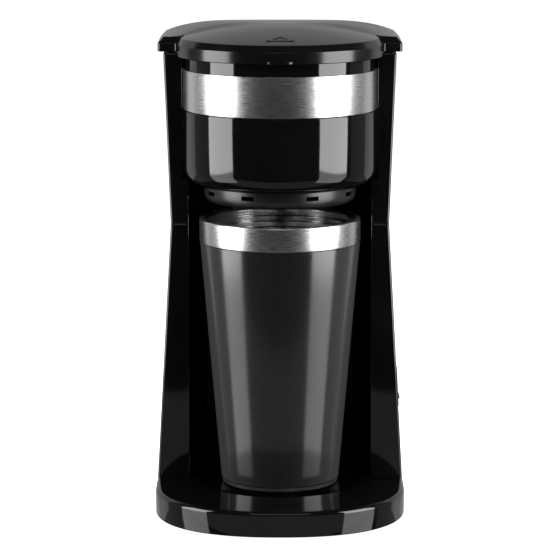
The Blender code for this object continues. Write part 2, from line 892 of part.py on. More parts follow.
def make_heater():
    bend = heater_x
    low = heater_bottom + heater_radius
    legs = [
        (-bend, service_y, heater_top), (-bend, service_y, low),
        (bend, service_y, low), (bend, service_y, heater_top),
    ]
    path = rounded_path(legs, bend * 0.99, 8)
    casting = pipe("heater_casting", path, heater_radius, tube_radius + gap, "aluminium")
    half = heater_x - (heater_radius + tube_radius) / 2
    front = service_y - pad_depth / 2
    pad = block("heater_pad", (-half, front, pad_bottom), (half, front + pad_depth, pad_bottom + pad_height))
    join(casting, pad)
    ends = [(-bend, service_y, heater_tube_top), *legs[1:3], (bend, service_y, heater_tube_top)]
    pipe("heater_tube", rounded_path(ends, bend * 0.99, 8), tube_radius, tube_bore, "aluminium")
    make_bracket()
    back = front + pad_depth + gap
    height = pad_bottom + pad_height * thermostat_share
    end = (0, back + thermostat_depth, height)
    rod("thermostat", (0, back, height), end, thermostat_radius, "ceramic", 16)
    height = pad_bottom + pad_height * fuse_share
    y = back + fuse_radius + gap
    rod("thermal_fuse", (-fuse_half, y, height), (fuse_half, y, height), fuse_radius, "ceramic", 12)


def make_bracket():
    front = service_y - heater_radius - thin_wall - 2 * gap
    height = pad_bottom + pad_height / 2
    half = heater_x + pillar_radius + heater_radius
    low = (-half - boss_radius, front, height - boss_radius * 3)
    high = (half + boss_radius, front + thin_wall, height + boss_radius * 3)
    bracket = block("heater_bracket", low, high, "steel")
    for side, tag in ((-1, "left"), (1, "right")):
        x = side * half
        start = (x, front - overrun, height)
        cut(bracket, rod("bracket_hole_" + tag, start, (x, front + overrun, height), screw_radius + gap))
        screw("heater_screw_" + tag, (x, front + thin_wall + gap, height), (0, -1, 0), short_screw)


def make_water_path():
    valve_top = tank_floor + 0.004
    valve_bottom = valve_top - valve_length
    spigot = tube_radius
    make_valve(valve_top, valve_bottom, spigot)
    start = heater_tube_top - hose_overlap
    cold = [(-heater_x, service_y, start), (-heater_x, service_y, valve_bottom + hose_overlap / 2)]
    bore = tube_radius + gap
    pipe("cold_water_hose", cold, hose_radius, bore, "silicone")
    riser_bottom = seam - 0.013
    low = heater_tube_top + 0.004
    high = riser_bottom - 0.003
    hot = [
        (heater_x, service_y, start), (heater_x, service_y, low),
        (0, service_y, high), (0, service_y, riser_bottom + hose_overlap),
    ]
    pipe("hot_water_hose", rounded_path(hot, hose_bend, 5), hose_radius, bore, "silicone")
    riser = [(0, service_y, riser_bottom), (0, service_y, riser_top)]
    pipe("riser_tube", riser, tube_radius, tube_bore, "inner")
    arm = [
        (0, service_y, riser_top - 0.006), (0, service_y, arm_height),
        (0, arm_reach, arm_height), (0, arm_reach, arm_height - 0.0045),
    ]
    pipe("spout_arm", rounded_path(arm, 0.0035, 5), arm_radius, arm_bore, "inner")
    seal_top = tank_floor - gap
    seal_low = seal_top - thin_wall
    for name, x, radius in (("valve_seal", -heater_x, valve_radius), ("riser_seal", 0, tube_radius)):
        bore = radius + gap
        rim = bore + plate_wall
        profile = [(rim, seal_top), (rim, seal_low), (bore, seal_low), (bore, seal_top)]
        turned(name, profile, "rubber", 20, (x, service_y, 0))


def make_valve(top, bottom, spigot):
    flange_top = tank_floor - thin_wall - 2 * gap
    flange_low = flange_top - plate_wall
    step = bottom + hose_overlap + thin_wall
    floor = step + plate_wall
    ceiling = floor + 2 * ball_radius + plate_wall + thin_wall
    bore = tube_bore
    profile = [
        (valve_radius, top), (valve_radius, flange_top),
        (flange_radius, flange_top), (flange_radius, flange_low),
        (valve_radius, flange_low), (valve_radius, step), (spigot, step), (spigot, bottom),
        (bore, bottom), (bore, floor - thin_wall), (chamber_radius, floor), (chamber_radius, ceiling),
        (bore, ceiling + thin_wall), (bore, top),
    ]
    turned("check_valve_body", profile, "inner", 20, (-heater_x, service_y, 0))
    mesh = bpy.data.meshes.new("check_valve_ball")
    bm = bmesh.new()
    bmesh.ops.create_uvsphere(bm, u_segments=12, v_segments=8, radius=ball_radius)
    bm.to_mesh(mesh)
    bm.free()
    mesh.shade_smooth()
    ball = place("check_valve_ball", mesh, "steel")
    ball.location = (-heater_x, service_y, floor + ball_radius + gap)


# The switch sits square to the leaning side wall: its local Z is the wall's outward normal.
def switch_frame():
    lean = math.atan2(foot_arm - seam_arm, seam - body_bottom)
    out = Vector((math.cos(lean), 0, math.sin(lean)))
    up = Vector((-math.sin(lean), 0, math.cos(lean)))
    turn = Matrix((Vector((0, 1, 0)), up, out)).transposed().to_4x4()
    return Matrix.Translation((half_width_at(switch_height), switch_y, switch_height)) @ turn


def switch_cutter():
    half = switch_half + Vector((gap, gap))
    cutter = block("switch_hole", (-half.x, -half.y, -overrun / 2), (half.x, half.y, overrun / 2))
    cutter.matrix_world = switch_frame()
    return cutter


def make_switch():
    frame = switch_frame()
    half = switch_half
    edge = half + Vector((bezel_border, bezel_border))
    low = (-edge.x, -edge.y, gap)
    bezel = block("switch_bezel", low, (edge.x, edge.y, gap + bezel_thickness), "inner")
    body = block("switch_body", (-half.x, -half.y, -switch_depth), (half.x, half.y, 2 * gap))
    room = half - Vector((bezel_wall, bezel_wall))
    well = block("switch_well", (-room.x, -room.y, wall - switch_depth), (room.x, room.y, overrun))
    join(bezel, body)
    cut(bezel, well)
    for piece in (bezel, body, well):
        piece.matrix_world = frame
    key = room - Vector((gap, 2 * gap))
    depth = plate_wall
    outline = [
        (key.y, depth + thin_wall), (0, depth), (-key.y, depth + thin_wall), (-key.y, 0),
        (-key.y / 2, -depth - thin_wall / 2), (key.y / 2, -depth - thin_wall / 2), (key.y, 0),
    ]
    rocker = loft("power_rocker", [(outline, -key.x), (outline, key.x)], "inner")
    tilt = Matrix.Rotation(-rocker_tilt, 4, "X")
    rocker.matrix_world = frame @ Matrix.Translation((0, 0, -depth)) @ tilt @ sideways


def make_wiring():
    size = terminal_size
    low = Vector((terminal_x, service_y - size.y / 2, body_bottom + thin_wall * 2))
    terminal = block("terminal_block", low, low + size, "ceramic")
    for i in range(3):
        x = low.x + size.x * (2 * i + 1) / 6
        height = low.z + size.z / 2
        start = (x, low.y - overrun, height)
        end = (x, low.y + size.y + overrun, height)
        cut(terminal, rod(f"terminal_hole_{i}", start, end, terminal_bore, sides=12))
    height = low.z + size.z / 2
    y = service_y
    side = alcove_radius + wall
    inner = half_width_at(switch_height) - switch_depth - wire_radius - thin_wall
    wire("supply_wire", [
        (low.x + size.x + gap, y, height), (low.x + size.x + 0.004, y, height),
        (side - 0.003, y - 0.014, height + 0.008), (side + 0.002, y - 0.026, height + 0.016),
        (inner - 0.001, switch_y + 0.006, switch_height - 0.018), (inner, switch_y, switch_height - 0.004),
    ], "wire")
    lane = y + heater_radius + wire_radius + thin_wall / 2
    spot = pad_bottom + pad_height * thermostat_share
    wire("switched_wire", [
        (inner, switch_y, switch_height + 0.002), (inner - 0.001, switch_y + 0.01, switch_height + 0.016),
        (side - 0.003, y - 0.014, spot - 0.006), (0.040, y + 0.002, spot), (0.031, lane, spot),
        (0.012, lane, spot), (0.0073, y + 0.008, spot),
    ], "wire")
    spot = pad_bottom + pad_height * fuse_share
    wire("return_wire", [
        (-0.0073, y + 0.0078, spot), (-0.0130, y + 0.0078, spot), (-0.0130, lane, spot - 0.016),
        (-0.0130, lane, 0.054), (-0.002, y + 0.004, height + 0.012), (low.x - 0.004, y, height),
        (low.x - gap, y, height),
    ], "wire")


make_base()
make_bottom_cover()
alcove_cutter = make_column_front()
make_rear_cover()
make_gland()
make_housing(alcove_cutter)
holder_inner, holder_shelf, holder_ledge = make_holder()
make_collar()
make_basket(holder_inner, holder_shelf, holder_ledge)
lid_pieces = make_lid()
hang("lid_axis", pivot, lid_pieces + [make_splash_plate()])
make_mug()
make_heater()
make_water_path()
make_switch()
make_wiring()
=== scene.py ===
import math

import bmesh
import bpy
from mathutils import Matrix, Vector


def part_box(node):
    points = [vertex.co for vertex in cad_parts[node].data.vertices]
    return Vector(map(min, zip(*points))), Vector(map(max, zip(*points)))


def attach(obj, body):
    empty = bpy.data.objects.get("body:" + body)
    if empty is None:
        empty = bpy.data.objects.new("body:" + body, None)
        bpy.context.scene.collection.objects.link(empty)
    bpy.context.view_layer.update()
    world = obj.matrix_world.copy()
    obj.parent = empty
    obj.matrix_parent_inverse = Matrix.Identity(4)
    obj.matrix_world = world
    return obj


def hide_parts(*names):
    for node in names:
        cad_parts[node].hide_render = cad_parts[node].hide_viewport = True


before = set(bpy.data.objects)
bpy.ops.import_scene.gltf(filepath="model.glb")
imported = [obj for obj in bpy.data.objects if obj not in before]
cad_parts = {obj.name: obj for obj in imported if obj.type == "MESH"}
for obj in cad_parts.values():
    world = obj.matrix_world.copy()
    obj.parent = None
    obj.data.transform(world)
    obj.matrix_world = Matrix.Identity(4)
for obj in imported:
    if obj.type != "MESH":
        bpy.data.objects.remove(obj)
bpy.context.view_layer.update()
print("frame loaded with", len(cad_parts), "nodes")

scene = bpy.context.scene
mm = 0.001
gap = 0.3 * mm    # between pieces that nearly meet
roundSteps = 240  # round the largest turned pieces
sharpAngle = math.radians(35)


def nodeBox(name):
    low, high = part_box(name)
    return low, high


# levels and widths that several pieces share, read from the frame
baseBox = nodeBox("base_top")
columnBox = nodeBox("column_front")
rearBox = nodeBox("rear_cover")
housingBox = nodeBox("upper_housing")
holderBox = nodeBox("filter_holder")
bandBox = nodeBox("holder_steel_band")
collarBox = nodeBox("drip_collar")
filterBox = nodeBox("permanent_filter")
lidBox = nodeBox("lid")
rimBox = nodeBox("mug_rim_band")
shellBox = nodeBox("mug_shell")
linerBox = nodeBox("mug_liner")
mugFootBox = nodeBox("mug_foot")
body = {
    "alcove": 55.5 * mm,           # radius of the recess that the mug stands in
    "wall": 2.2 * mm,
    "footHalf": 75.5 * mm,
    "seamHalf": 66.6 * mm,
    "topHalf": 70.6 * mm,
    "back": rearBox[1].y,
    "rearCorner": 38 * mm,
    "frontEdge": 1.6 * mm,
    "alcoveEdge": 0.9 * mm,
    "endEdge": 0.45 * mm,
    "pastSkirt": 1 * mm,           # how far the housing's walls go up behind the lid's skirt
    "split": columnBox[1].y,
}


# mesh tools

def fillet(before, corner, after, radius, steps):
    if radius <= 0:
        return [corner]
    back = (before - corner).normalized()
    ahead = (after - corner).normalized()
    half = back.angle(ahead) / 2
    reach = radius / math.tan(half)
    centre = corner + (back + ahead).normalized() * radius / math.sin(half)
    start = (corner + back * reach - centre).normalized()
    end = (corner + ahead * reach - centre).normalized()
    return [centre + start.slerp(end, step / steps) * radius for step in range(steps + 1)]


def roundedLoop(corners):  # (x, y, radius, steps) round a closed loop
    spots = [Vector((c[0], c[1])) for c in corners]
    points = []
    for i, c in enumerate(corners):
        points += fillet(spots[i - 1], spots[i], spots[(i + 1) % len(spots)], c[2], c[3])
    return points


def roundedLine(corners, closed):  # (radius, height, fillet) down a turned profile
    spots = [Vector((c[0], c[1])) for c in corners]
    points = []
    for i, c in enumerate(corners):
        ends = not closed and i in (0, len(corners) - 1)
        if ends or c[2] <= 0:
            points.append(spots[i])
            continue
        points += fillet(spots[i - 1], spots[i], spots[(i + 1) % len(spots)], c[2], 5)
    return points


def smoothMesh(mesh):
    mesh.shade_smooth()
    mesh.set_sharp_from_angle(angle=sharpAngle)
    return mesh


def finishMesh(name, bm):
    bmesh.ops.remove_doubles(bm, verts=bm.verts, dist=1e-7)
    bmesh.ops.recalc_face_normals(bm, faces=bm.faces)
    mesh = bpy.data.meshes.new(name)
    bm.to_mesh(mesh)
    bm.free()
    return smoothMesh(mesh)


def turnedMesh(name, corners, steps=180):
    closed = all(c[0] > 0 for c in corners)
    points = roundedLine(corners, closed)
    bm = bmesh.new()
    verts = [bm.verts.new((p.x, 0, p.y)) for p in points]
    edges = [bm.edges.new(pair) for pair in zip(verts, verts[1:])]
    if closed:
        edges.append(bm.edges.new((verts[-1], verts[0])))
    bmesh.ops.spin(
        bm, geom=verts + edges, cent=(0, 0, 0), axis=(0, 0, 1), steps=steps, angle=math.tau, use_merge=True
    )
    return finishMesh(name, bm)


def loopMesh(name, loops, ends=True):  # loops of 3D points, all of one length
    bm = bmesh.new()
    addLoops(bm, loops, ends)
    return finishMesh(name, bm)


def addLoops(bm, loops, ends=True):
    rows = [[bm.verts.new(p) for p in loop] for loop in loops]
    for low, high in zip(rows, rows[1:]):
        for i in range(len(low)):
            bm.faces.new((low[i - 1], low[i], high[i], high[i - 1]))
    if ends:
        bm.faces.new(rows[0])
        bm.faces.new(rows[-1])


def addBox(bm, low, high, matrix=Matrix.Identity(4)):
    low = Vector(low)
    high = Vector(high)
    middle = Matrix.Translation((low + high) / 2) @ Matrix.Diagonal((*(high - low), 1))
    bmesh.ops.create_cube(bm, size=1, matrix=matrix @ middle)


def addRod(bm, start, end, radius, sides=48):
    start = Vector(start)
    run = Vector(end) - start
    turn = run.to_track_quat("Z", "Y").to_matrix().to_4x4()
    bmesh.ops.create_cone(
        bm, cap_ends=True, segments=sides, radius1=radius, radius2=radius, depth=run.length,
        matrix=Matrix.Translation(start + run / 2) @ turn,
    )


def at(loop, height):
    return [(p.x, p.y, height) for p in loop]


def carve(mesh, cutter):  # the mesh with the cutter's mesh taken out of it
    solid = bpy.data.objects.new("carving", mesh)
    tool = bpy.data.objects.new("carver", cutter)
    scene.collection.objects.link(solid)
    scene.collection.objects.link(tool)
    modifier = solid.modifiers.new("carve", "BOOLEAN")
    modifier.operation = "DIFFERENCE"
    modifier.solver = "EXACT"
    modifier.object = tool
    result = bpy.data.meshes.new_from_object(solid.evaluated_get(bpy.context.evaluated_depsgraph_get()))
    bpy.data.objects.remove(solid)
    bpy.data.objects.remove(tool)
    return smoothMesh(result)


def addPiece(name, mesh, materials, bodyName, nodes=()):
    piece = bpy.data.objects.new(name, mesh)
    scene.collection.objects.link(piece)
    if materials:
        mesh.materials.clear()
    for material in materials:
        mesh.materials.append(material)
    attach(piece, bodyName)
    if nodes:
        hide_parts(*nodes)


# node helpers and shader groups

def setInputs(tree, node, inputs):  # a socket among the values is linked, anything else is set
    for label, value in inputs.items():
        if isinstance(value, bpy.types.NodeSocket):
            tree.links.new(value, node.inputs[label])
        else:
            node.inputs[label].default_value = value


def makeNode(tree, kind, inputs=None, **settings):
    node = tree.nodes.new(kind)
    for label, value in settings.items():
        setattr(node, label, value)
    setInputs(tree, node, inputs or {})
    return node


def newGroup(name, inputs, outputs):
    group = bpy.data.node_groups.new(name, "ShaderNodeTree")
    for label, value in inputs.items():
        kind = "NodeSocketVector" if label == "Vector" else "NodeSocketFloat"
        socket = group.interface.new_socket(label, in_out="INPUT", socket_type=kind)
        if value is not None:
            socket.default_value = value
    for label in outputs:
        group.interface.new_socket(label, in_out="OUTPUT", socket_type="NodeSocketFloat")
    return group, makeNode(group, "NodeGroupInput").outputs, makeNode(group, "NodeGroupOutput")


def mathNode(tree, operation, first, second=None):
    node = tree.nodes.new("ShaderNodeMath")
    node.operation = operation
    for socket, value in zip(node.inputs, (first, second)):
        if isinstance(value, (int, float)):
            socket.default_value = value
        elif value is not None:
            tree.links.new(value, socket)
    return node.outputs[0]


def noiseNode(tree, vector, scale, detail=2.0, distortion=0.0):
    inputs = {"Vector": vector, "Scale": scale, "Detail": detail, "Distortion": distortion}
    return makeNode(tree, "ShaderNodeTexNoise", inputs).outputs["Fac"]


def rangeNode(tree, value, **inputs):
    named = {label.replace("_", " ").title(): entry for label, entry in inputs.items()}
    return makeNode(tree, "ShaderNodeMapRange", {"Value": value, **named})


def roundAndUp(group, vector):  # angle round the Z axis, and height
    split = makeNode(group, "ShaderNodeSeparateXYZ", {"Vector": vector}).outputs
    return mathNode(group, "ARCTAN2", split["Y"], split["X"]), split["Z"]


def buildSmudge():  # where hands leave a surface a little duller, 0 to 1
    group, start, end = newGroup("smudge", {"Vector": None, "Size": 25.0, "Cover": 0.5}, ["Mask"])
    wide = noiseNode(group, start["Vector"], start["Size"], 4.0, 0.6)
    ramp = rangeNode(group, wide, from_min=start["Cover"], from_max=0.8)
    ramp.interpolation_type = "SMOOTHSTEP"
    setInputs(group, end, {"Mask": ramp.outputs["Result"]})
    return group


def buildGrain():  # moulding grain: a fine and a finer noise added up
    group, start, end = newGroup("mouldGrain", {"Vector": None, "Scale": 900.0}, ["Height"])
    coarse = noiseNode(group, start["Vector"], start["Scale"], 3.0)
    fine = noiseNode(group, start["Vector"], mathNode(group, "MULTIPLY", start["Scale"], 3.1), 2.0)
    setInputs(group, end, {"Height": mathNode(group, "ADD", coarse, mathNode(group, "MULTIPLY", fine, 0.5))})
    return group


def buildBrush():  # brushing round the Z axis: streaks long in angle, fine in height
    sizes = {"Vector": None, "Lines": 2600.0, "Length": 3.0}
    group, start, end = newGroup("brushRound", sizes, ["Streak", "Broad"])
    angle, height = roundAndUp(group, start["Vector"])
    joined = makeNode(group, "ShaderNodeCombineXYZ", {
        "X": mathNode(group, "MULTIPLY", angle, start["Length"]),
        "Y": mathNode(group, "MULTIPLY", height, start["Lines"]),
    }).outputs[0]
    setInputs(group, end, {
        "Streak": noiseNode(group, joined, 1.0, 4.0), "Broad": noiseNode(group, joined, 0.16, 1.0),
    })
    return group


def buildScratch():  # hair scratches in two directions, 0 to 1
    group, start, end = newGroup("hairScratch", {"Vector": None, "Scale": 60.0, "Amount": 0.5}, ["Mask"])
    found = []
    for turn, stretch in ((0.5, 22.0), (-0.9, 30.0)):
        stretched = makeNode(group, "ShaderNodeMapping", {
            "Vector": start["Vector"], "Rotation": (0.3, turn, turn * 2), "Scale": (1, stretch, 1),
        }).outputs[0]
        noise = noiseNode(group, stretched, start["Scale"], 2.0, 0.3)
        found.append(rangeNode(group, noise, from_min=0.66, from_max=0.72).outputs["Result"])
    total = mathNode(group, "MAXIMUM", *found)
    setInputs(group, end, {"Mask": mathNode(group, "MULTIPLY", total, start["Amount"])})
    return group


def buildWeave():  # two sets of threads at right angles, height and gap mask
    group, start, end = newGroup("meshWeave", {"Vector": None, "Threads": 2200.0}, ["Height", "Gap"])
    angle, height = roundAndUp(group, start["Vector"])
    around = mathNode(group, "SINE", mathNode(group, "MULTIPLY", angle, 220.0))
    upward = mathNode(group, "SINE", mathNode(group, "MULTIPLY", height, start["Threads"]))
    total = mathNode(group, "MAXIMUM", around, upward)
    setInputs(group, end, {"Height": total, "Gap": mathNode(group, "LESS_THAN", total, -0.1)})
    return group


smudgeGroup = buildSmudge()
grainGroup = buildGrain()
brushGroup = buildBrush()
scratchGroup = buildScratch()
weaveGroup = buildWeave()


# materials

def startMaterial(name):
    material = bpy.data.materials.new(name)
    material.use_nodes = True
    tree = material.node_tree
    coords = makeNode(tree, "ShaderNodeTexCoord").outputs["Object"]
    return material, tree, tree.nodes["Principled BSDF"], coords


def placeGroup(tree, group, coords, **values):
    return makeNode(tree, "ShaderNodeGroup", {"Vector": coords, **values}, node_tree=group).outputs


def mixColour(tree, factor, low, high):  # a colour is a triple or a socket
    ends = [value if isinstance(value, bpy.types.NodeSocket) else (*value, 1) for value in (low, high)]
    inputs = {"Factor": factor, "A": ends[0], "B": ends[1]}
    return makeNode(tree, "ShaderNodeMix", inputs, data_type="RGBA").outputs["Result"]


def roughNode(tree, value, ends):
    return rangeNode(tree, value, to_min=ends[0], to_max=ends[1]).outputs["Result"]


def bumpNode(tree, height, strength, distance):
    inputs = {"Strength": strength, "Distance": distance, "Height": height}
    return makeNode(tree, "ShaderNodeBump", inputs).outputs["Normal"]


def mouldedMaterial(name, look):
    material, tree, shader, coords = startMaterial(name)
    smudge = placeGroup(tree, smudgeGroup, coords, Size=look["smudgeSize"], Cover=0.45)["Mask"]
    scratch = placeGroup(tree, scratchGroup, coords, Scale=70.0, Amount=look["scratch"])["Mask"]
    wear = mathNode(tree, "MAXIMUM", smudge, scratch)
    grain = placeGroup(tree, grainGroup, coords, Scale=look["grainScale"])["Height"]
    setInputs(tree, shader, {
        "Base Color": mixColour(tree, wear, look["colour"], look["worn"]),
        "Roughness": roughNode(tree, wear, look["rough"]), "Metallic": look.get("metallic", 0.0),
        "Normal": bumpNode(tree, grain, look["grain"], look["grainDepth"]),
    })
    return material


def steelMaterial(name, look):  # fine crisp lines among rough ones, so a light's edge is sharp with a haze
    material, tree, shader, coords = startMaterial(name)
    brush = placeGroup(tree, brushGroup, coords, Lines=look["lines"], Length=look["length"])
    scratch = placeGroup(tree, scratchGroup, coords, Scale=80.0, Amount=look["scratch"])["Mask"]
    wear = mathNode(tree, "MAXIMUM", brush["Streak"], scratch)
    tangent = makeNode(tree, "ShaderNodeTangent", direction_type="RADIAL", axis="Z").outputs[0]
    height = mathNode(tree, "ADD", brush["Streak"], brush["Broad"])
    setInputs(tree, shader, {
        "Base Color": mixColour(tree, brush["Streak"], look["dark"], look["light"]),
        "Roughness": roughNode(tree, wear, look["rough"]), "Metallic": 1.0, "Tangent": tangent,
        "Anisotropic": look["anisotropy"], "Anisotropic Rotation": 0.25,
        "Normal": bumpNode(tree, height, look["bump"], 0.00004),
    })
    return material


def paintedMaterial(name, look):  # metallic paint: flakes under a satin skin, with a painted rim highlight, the colour lighter where the surface turns away from view
    material, tree, shader, coords = startMaterial(name)
    flakes = makeNode(tree, "ShaderNodeTexVoronoi", {"Vector": coords, "Scale": look["flakeScale"]})
    spark = mathNode(tree, "MULTIPLY", flakes.outputs["Distance"], 1.3)
    facing = makeNode(tree, "ShaderNodeLayerWeight", {"Blend": 0.35}).outputs["Facing"]
    sparkle = mixColour(tree, spark, look["light"], look["dark"])
    smudge = placeGroup(tree, smudgeGroup, coords, Size=18.0, Cover=0.45)["Mask"]
    grain = placeGroup(tree, grainGroup, coords, Scale=look["grainScale"])["Height"]
    setInputs(tree, shader, {
        # painted rim highlight: the base colour is mixed towards a lighter colour where the surface turns
        # away from view
        "Base Color": mixColour(tree, facing, sparkle, look["rimHighlight"]),
        "Roughness": roughNode(tree, smudge, look["rough"]), "Metallic": look["metallic"],
        "Coat Weight": look["coat"], "Coat Roughness": look["coatRough"],
        "Normal": bumpNode(tree, grain, look["grain"], 0.00003),
    })
    return material


def filterMaterial(name, look):
    material, tree, shader, coords = startMaterial(name)
    weave = placeGroup(tree, weaveGroup, coords, Threads=look["threads"])
    smudge = placeGroup(tree, smudgeGroup, coords, Size=40.0, Cover=0.5)["Mask"]
    setInputs(tree, shader, {
        "Base Color": mixColour(tree, weave["Gap"], look["thread"], look["gap"]), "Metallic": 0.5,
        "Roughness": roughNode(tree, smudge, (0.35, 0.6)),
        "Normal": bumpNode(tree, weave["Height"], 0.6, 0.0003),
    })
    return material


glossBlack = mouldedMaterial("glossBlack", {
    "colour": (0.0035, 0.0035, 0.0038), "worn": (0.006, 0.006, 0.0065), "rough": (0.055, 0.10),
    "smudgeSize": 22.0, "scratch": 0.25, "grainScale": 260.0, "grain": 0.05, "grainDepth": 0.00003,
})
lidBlack = mouldedMaterial("lidBlack", {
    "colour": (0.0045, 0.0045, 0.0048), "worn": (0.008, 0.008, 0.0085), "rough": (0.16, 0.24),
    "smudgeSize": 18.0, "scratch": 0.3, "grainScale": 320.0, "grain": 0.06, "grainDepth": 0.00003,
})
collarBlack = mouldedMaterial("collarBlack", {
    "colour": (0.010, 0.010, 0.0105), "worn": (0.016, 0.016, 0.017), "rough": (0.30, 0.38),
    "smudgeSize": 30.0, "scratch": 0.2, "grainScale": 500.0, "grain": 0.1, "grainDepth": 0.00004,
})
satinBlack = mouldedMaterial("satinBlack", {
    "colour": (0.014, 0.014, 0.0145), "worn": (0.024, 0.024, 0.025), "rough": (0.38, 0.55),
    "smudgeSize": 40.0, "scratch": 0.3, "grainScale": 1400.0, "grain": 0.35, "grainDepth": 0.00006,
})
rubberMaterial = mouldedMaterial("rubber", {
    "colour": (0.018, 0.018, 0.018), "worn": (0.045, 0.043, 0.041), "rough": (0.72, 0.92),
    "smudgeSize": 70.0, "scratch": 0.4, "grainScale": 1900.0, "grain": 0.5, "grainDepth": 0.0001,
})
siliconeMaterial = mouldedMaterial("silicone", {
    "colour": (0.62, 0.60, 0.55), "worn": (0.50, 0.46, 0.38), "rough": (0.35, 0.5),
    "smudgeSize": 60.0, "scratch": 0.1, "grainScale": 1100.0, "grain": 0.2, "grainDepth": 0.00006,
})
ceramicMaterial = mouldedMaterial("ceramic", {
    "colour": (0.78, 0.76, 0.70), "worn": (0.55, 0.52, 0.46), "rough": (0.45, 0.7),
    "smudgeSize": 90.0, "scratch": 0.2, "grainScale": 2200.0, "grain": 0.4, "grainDepth": 0.00008,
})
sleeveMaterial = mouldedMaterial("wireSleeve", {
    "colour": (0.20, 0.055, 0.02), "worn": (0.28, 0.12, 0.06), "rough": (0.4, 0.55),
    "smudgeSize": 120.0, "scratch": 0.2, "grainScale": 2600.0, "grain": 0.4, "grainDepth": 0.00006,
})
castMaterial = mouldedMaterial("castAluminium", {
    "colour": (0.50, 0.51, 0.52), "worn": (0.38, 0.37, 0.36), "rough": (0.42, 0.6),
    "smudgeSize": 60.0, "scratch": 0.3, "grainScale": 1500.0, "grain": 0.6, "grainDepth": 0.0001,
    "metallic": 1.0,
})
brushedSteel = steelMaterial("brushedSteel", {
    "lines": 9000.0, "length": 7.0, "dark": (0.62, 0.62, 0.62), "light": (0.74, 0.74, 0.73),
    "rough": (0.06, 0.52), "scratch": 0.3, "anisotropy": 0.2, "bump": 0.12,
})
linerSteel = steelMaterial("linerSteel", {
    "lines": 2600.0, "length": 3.0, "dark": (0.56, 0.56, 0.56), "light": (0.74, 0.74, 0.73),
    "rough": (0.10, 0.34), "scratch": 0.3, "anisotropy": 0.2, "bump": 0.12,
})
screwSteel = steelMaterial("screwSteel", {
    "lines": 4000.0, "length": 9.0, "dark": (0.40, 0.40, 0.41), "light": (0.62, 0.62, 0.63),
    "rough": (0.25, 0.45), "scratch": 0.6, "anisotropy": 0.2, "bump": 0.3,
})
charcoalPaint = paintedMaterial("charcoalPaint", {
    "flakeScale": 3500.0, "light": (0.036, 0.036, 0.037), "dark": (0.016, 0.016, 0.0165),
    "rough": (0.17, 0.22),
    # the lighter colour is a painted rim highlight, mixed in towards the mug's edges
    "rimHighlight": (0.16, 0.16, 0.165), "metallic": 0.5, "coat": 0.1, "coatRough": 0.10,
    "grainScale": 700.0, "grain": 0.08,
})
filterWeave = filterMaterial("filterWeave", {
    "threads": 9000.0, "thread": (0.50, 0.38, 0.16), "gap": (0.10, 0.07, 0.03),
})
print("materials built")


# base

base = {
    "half": baseBox[1].x, "front": -baseBox[0].y, "widest": 15 * mm, "power": 2.3, "back": baseBox[1].y,
    "low": baseBox[0].z, "high": baseBox[1].z, "corner": body["rearCorner"] + 0.5 * mm,
    "fillet": 2.6 * mm, "lowFillet": 0.6 * mm, "plate": 2.5 * mm, "frontSteps": 120, "cornerSteps": 28,
    "recess": 49.5 * mm, "recessDepth": 0.8 * mm, "recessLip": 0.5 * mm, "past": 5 * mm,
}


def baseLoop(inset):
    side = base["half"] - inset
    depth = base["front"] - base["widest"] - inset
    back = base["back"] - inset
    corners = []
    for step in range(base["frontSteps"] + 1):
        angle = math.pi * step / base["frontSteps"]
        across = math.copysign(abs(math.cos(angle)) ** (2 / base["power"]), math.cos(angle))
        ahead = abs(math.sin(angle)) ** (2 / base["power"])
        corners.append((-side * across, -base["widest"] - depth * ahead, 0, 0))
    rest = (back, base["corner"] - inset, base["cornerSteps"])
    return roundedLoop(corners + [(side, *rest), (-side, *rest)])


def buildBase():
    wall = body["wall"]
    low, high = base["low"], base["high"]
    loops = [at(baseLoop(wall), high - base["plate"]), at(baseLoop(wall), low)]
    for step in range(4):
        angle = math.pi / 2 * step / 3
        inset = base["lowFillet"] * (1 - math.sin(angle))
        loops.append(at(baseLoop(inset), low + base["lowFillet"] * (1 - math.cos(angle))))
    for step in range(9):
        angle = math.pi / 2 * step / 8
        inset = base["fillet"] * (1 - math.cos(angle))
        loops.append(at(baseLoop(inset), high - base["fillet"] * (1 - math.sin(angle))))
    floor = high - base["recessDepth"]
    radius = base["recess"]
    above = high + base["past"]
    cutter = turnedMesh("recessCutter", [
        (0, above, 0), (radius + base["recessLip"] + base["past"], above, 0),
        (radius + 0.1 * mm, floor + 0.15 * mm, 0), (radius - 0.3 * mm, floor, 0), (0, floor, 0),
    ], 160)
    mesh = carve(loopMesh("base", loops), cutter)
    addPiece("base", mesh, [glossBlack], "body", ["base_top"])


buildBase()
print("base built")


# column, rear cover and housing

def widthAt(height):
    low, high = columnBox[0].z, housingBox[0].z
    if height <= high:
        share = (height - low) / (high - low)
        return body["footHalf"] + (body["seamHalf"] - body["footHalf"]) * share
    share = (height - high) / (lidBox[0].z + body["pastSkirt"] - high)
    return body["seamHalf"] + (body["topHalf"] - body["seamHalf"]) * share


def arcPoints(cx, cy, radius, start, end, count):
    points = []
    for step in range(count + 1):
        angle = start + (end - start) * step / count
        points.append((cx + radius * math.cos(angle), cy + radius * math.sin(angle), 0, 0))
    return points


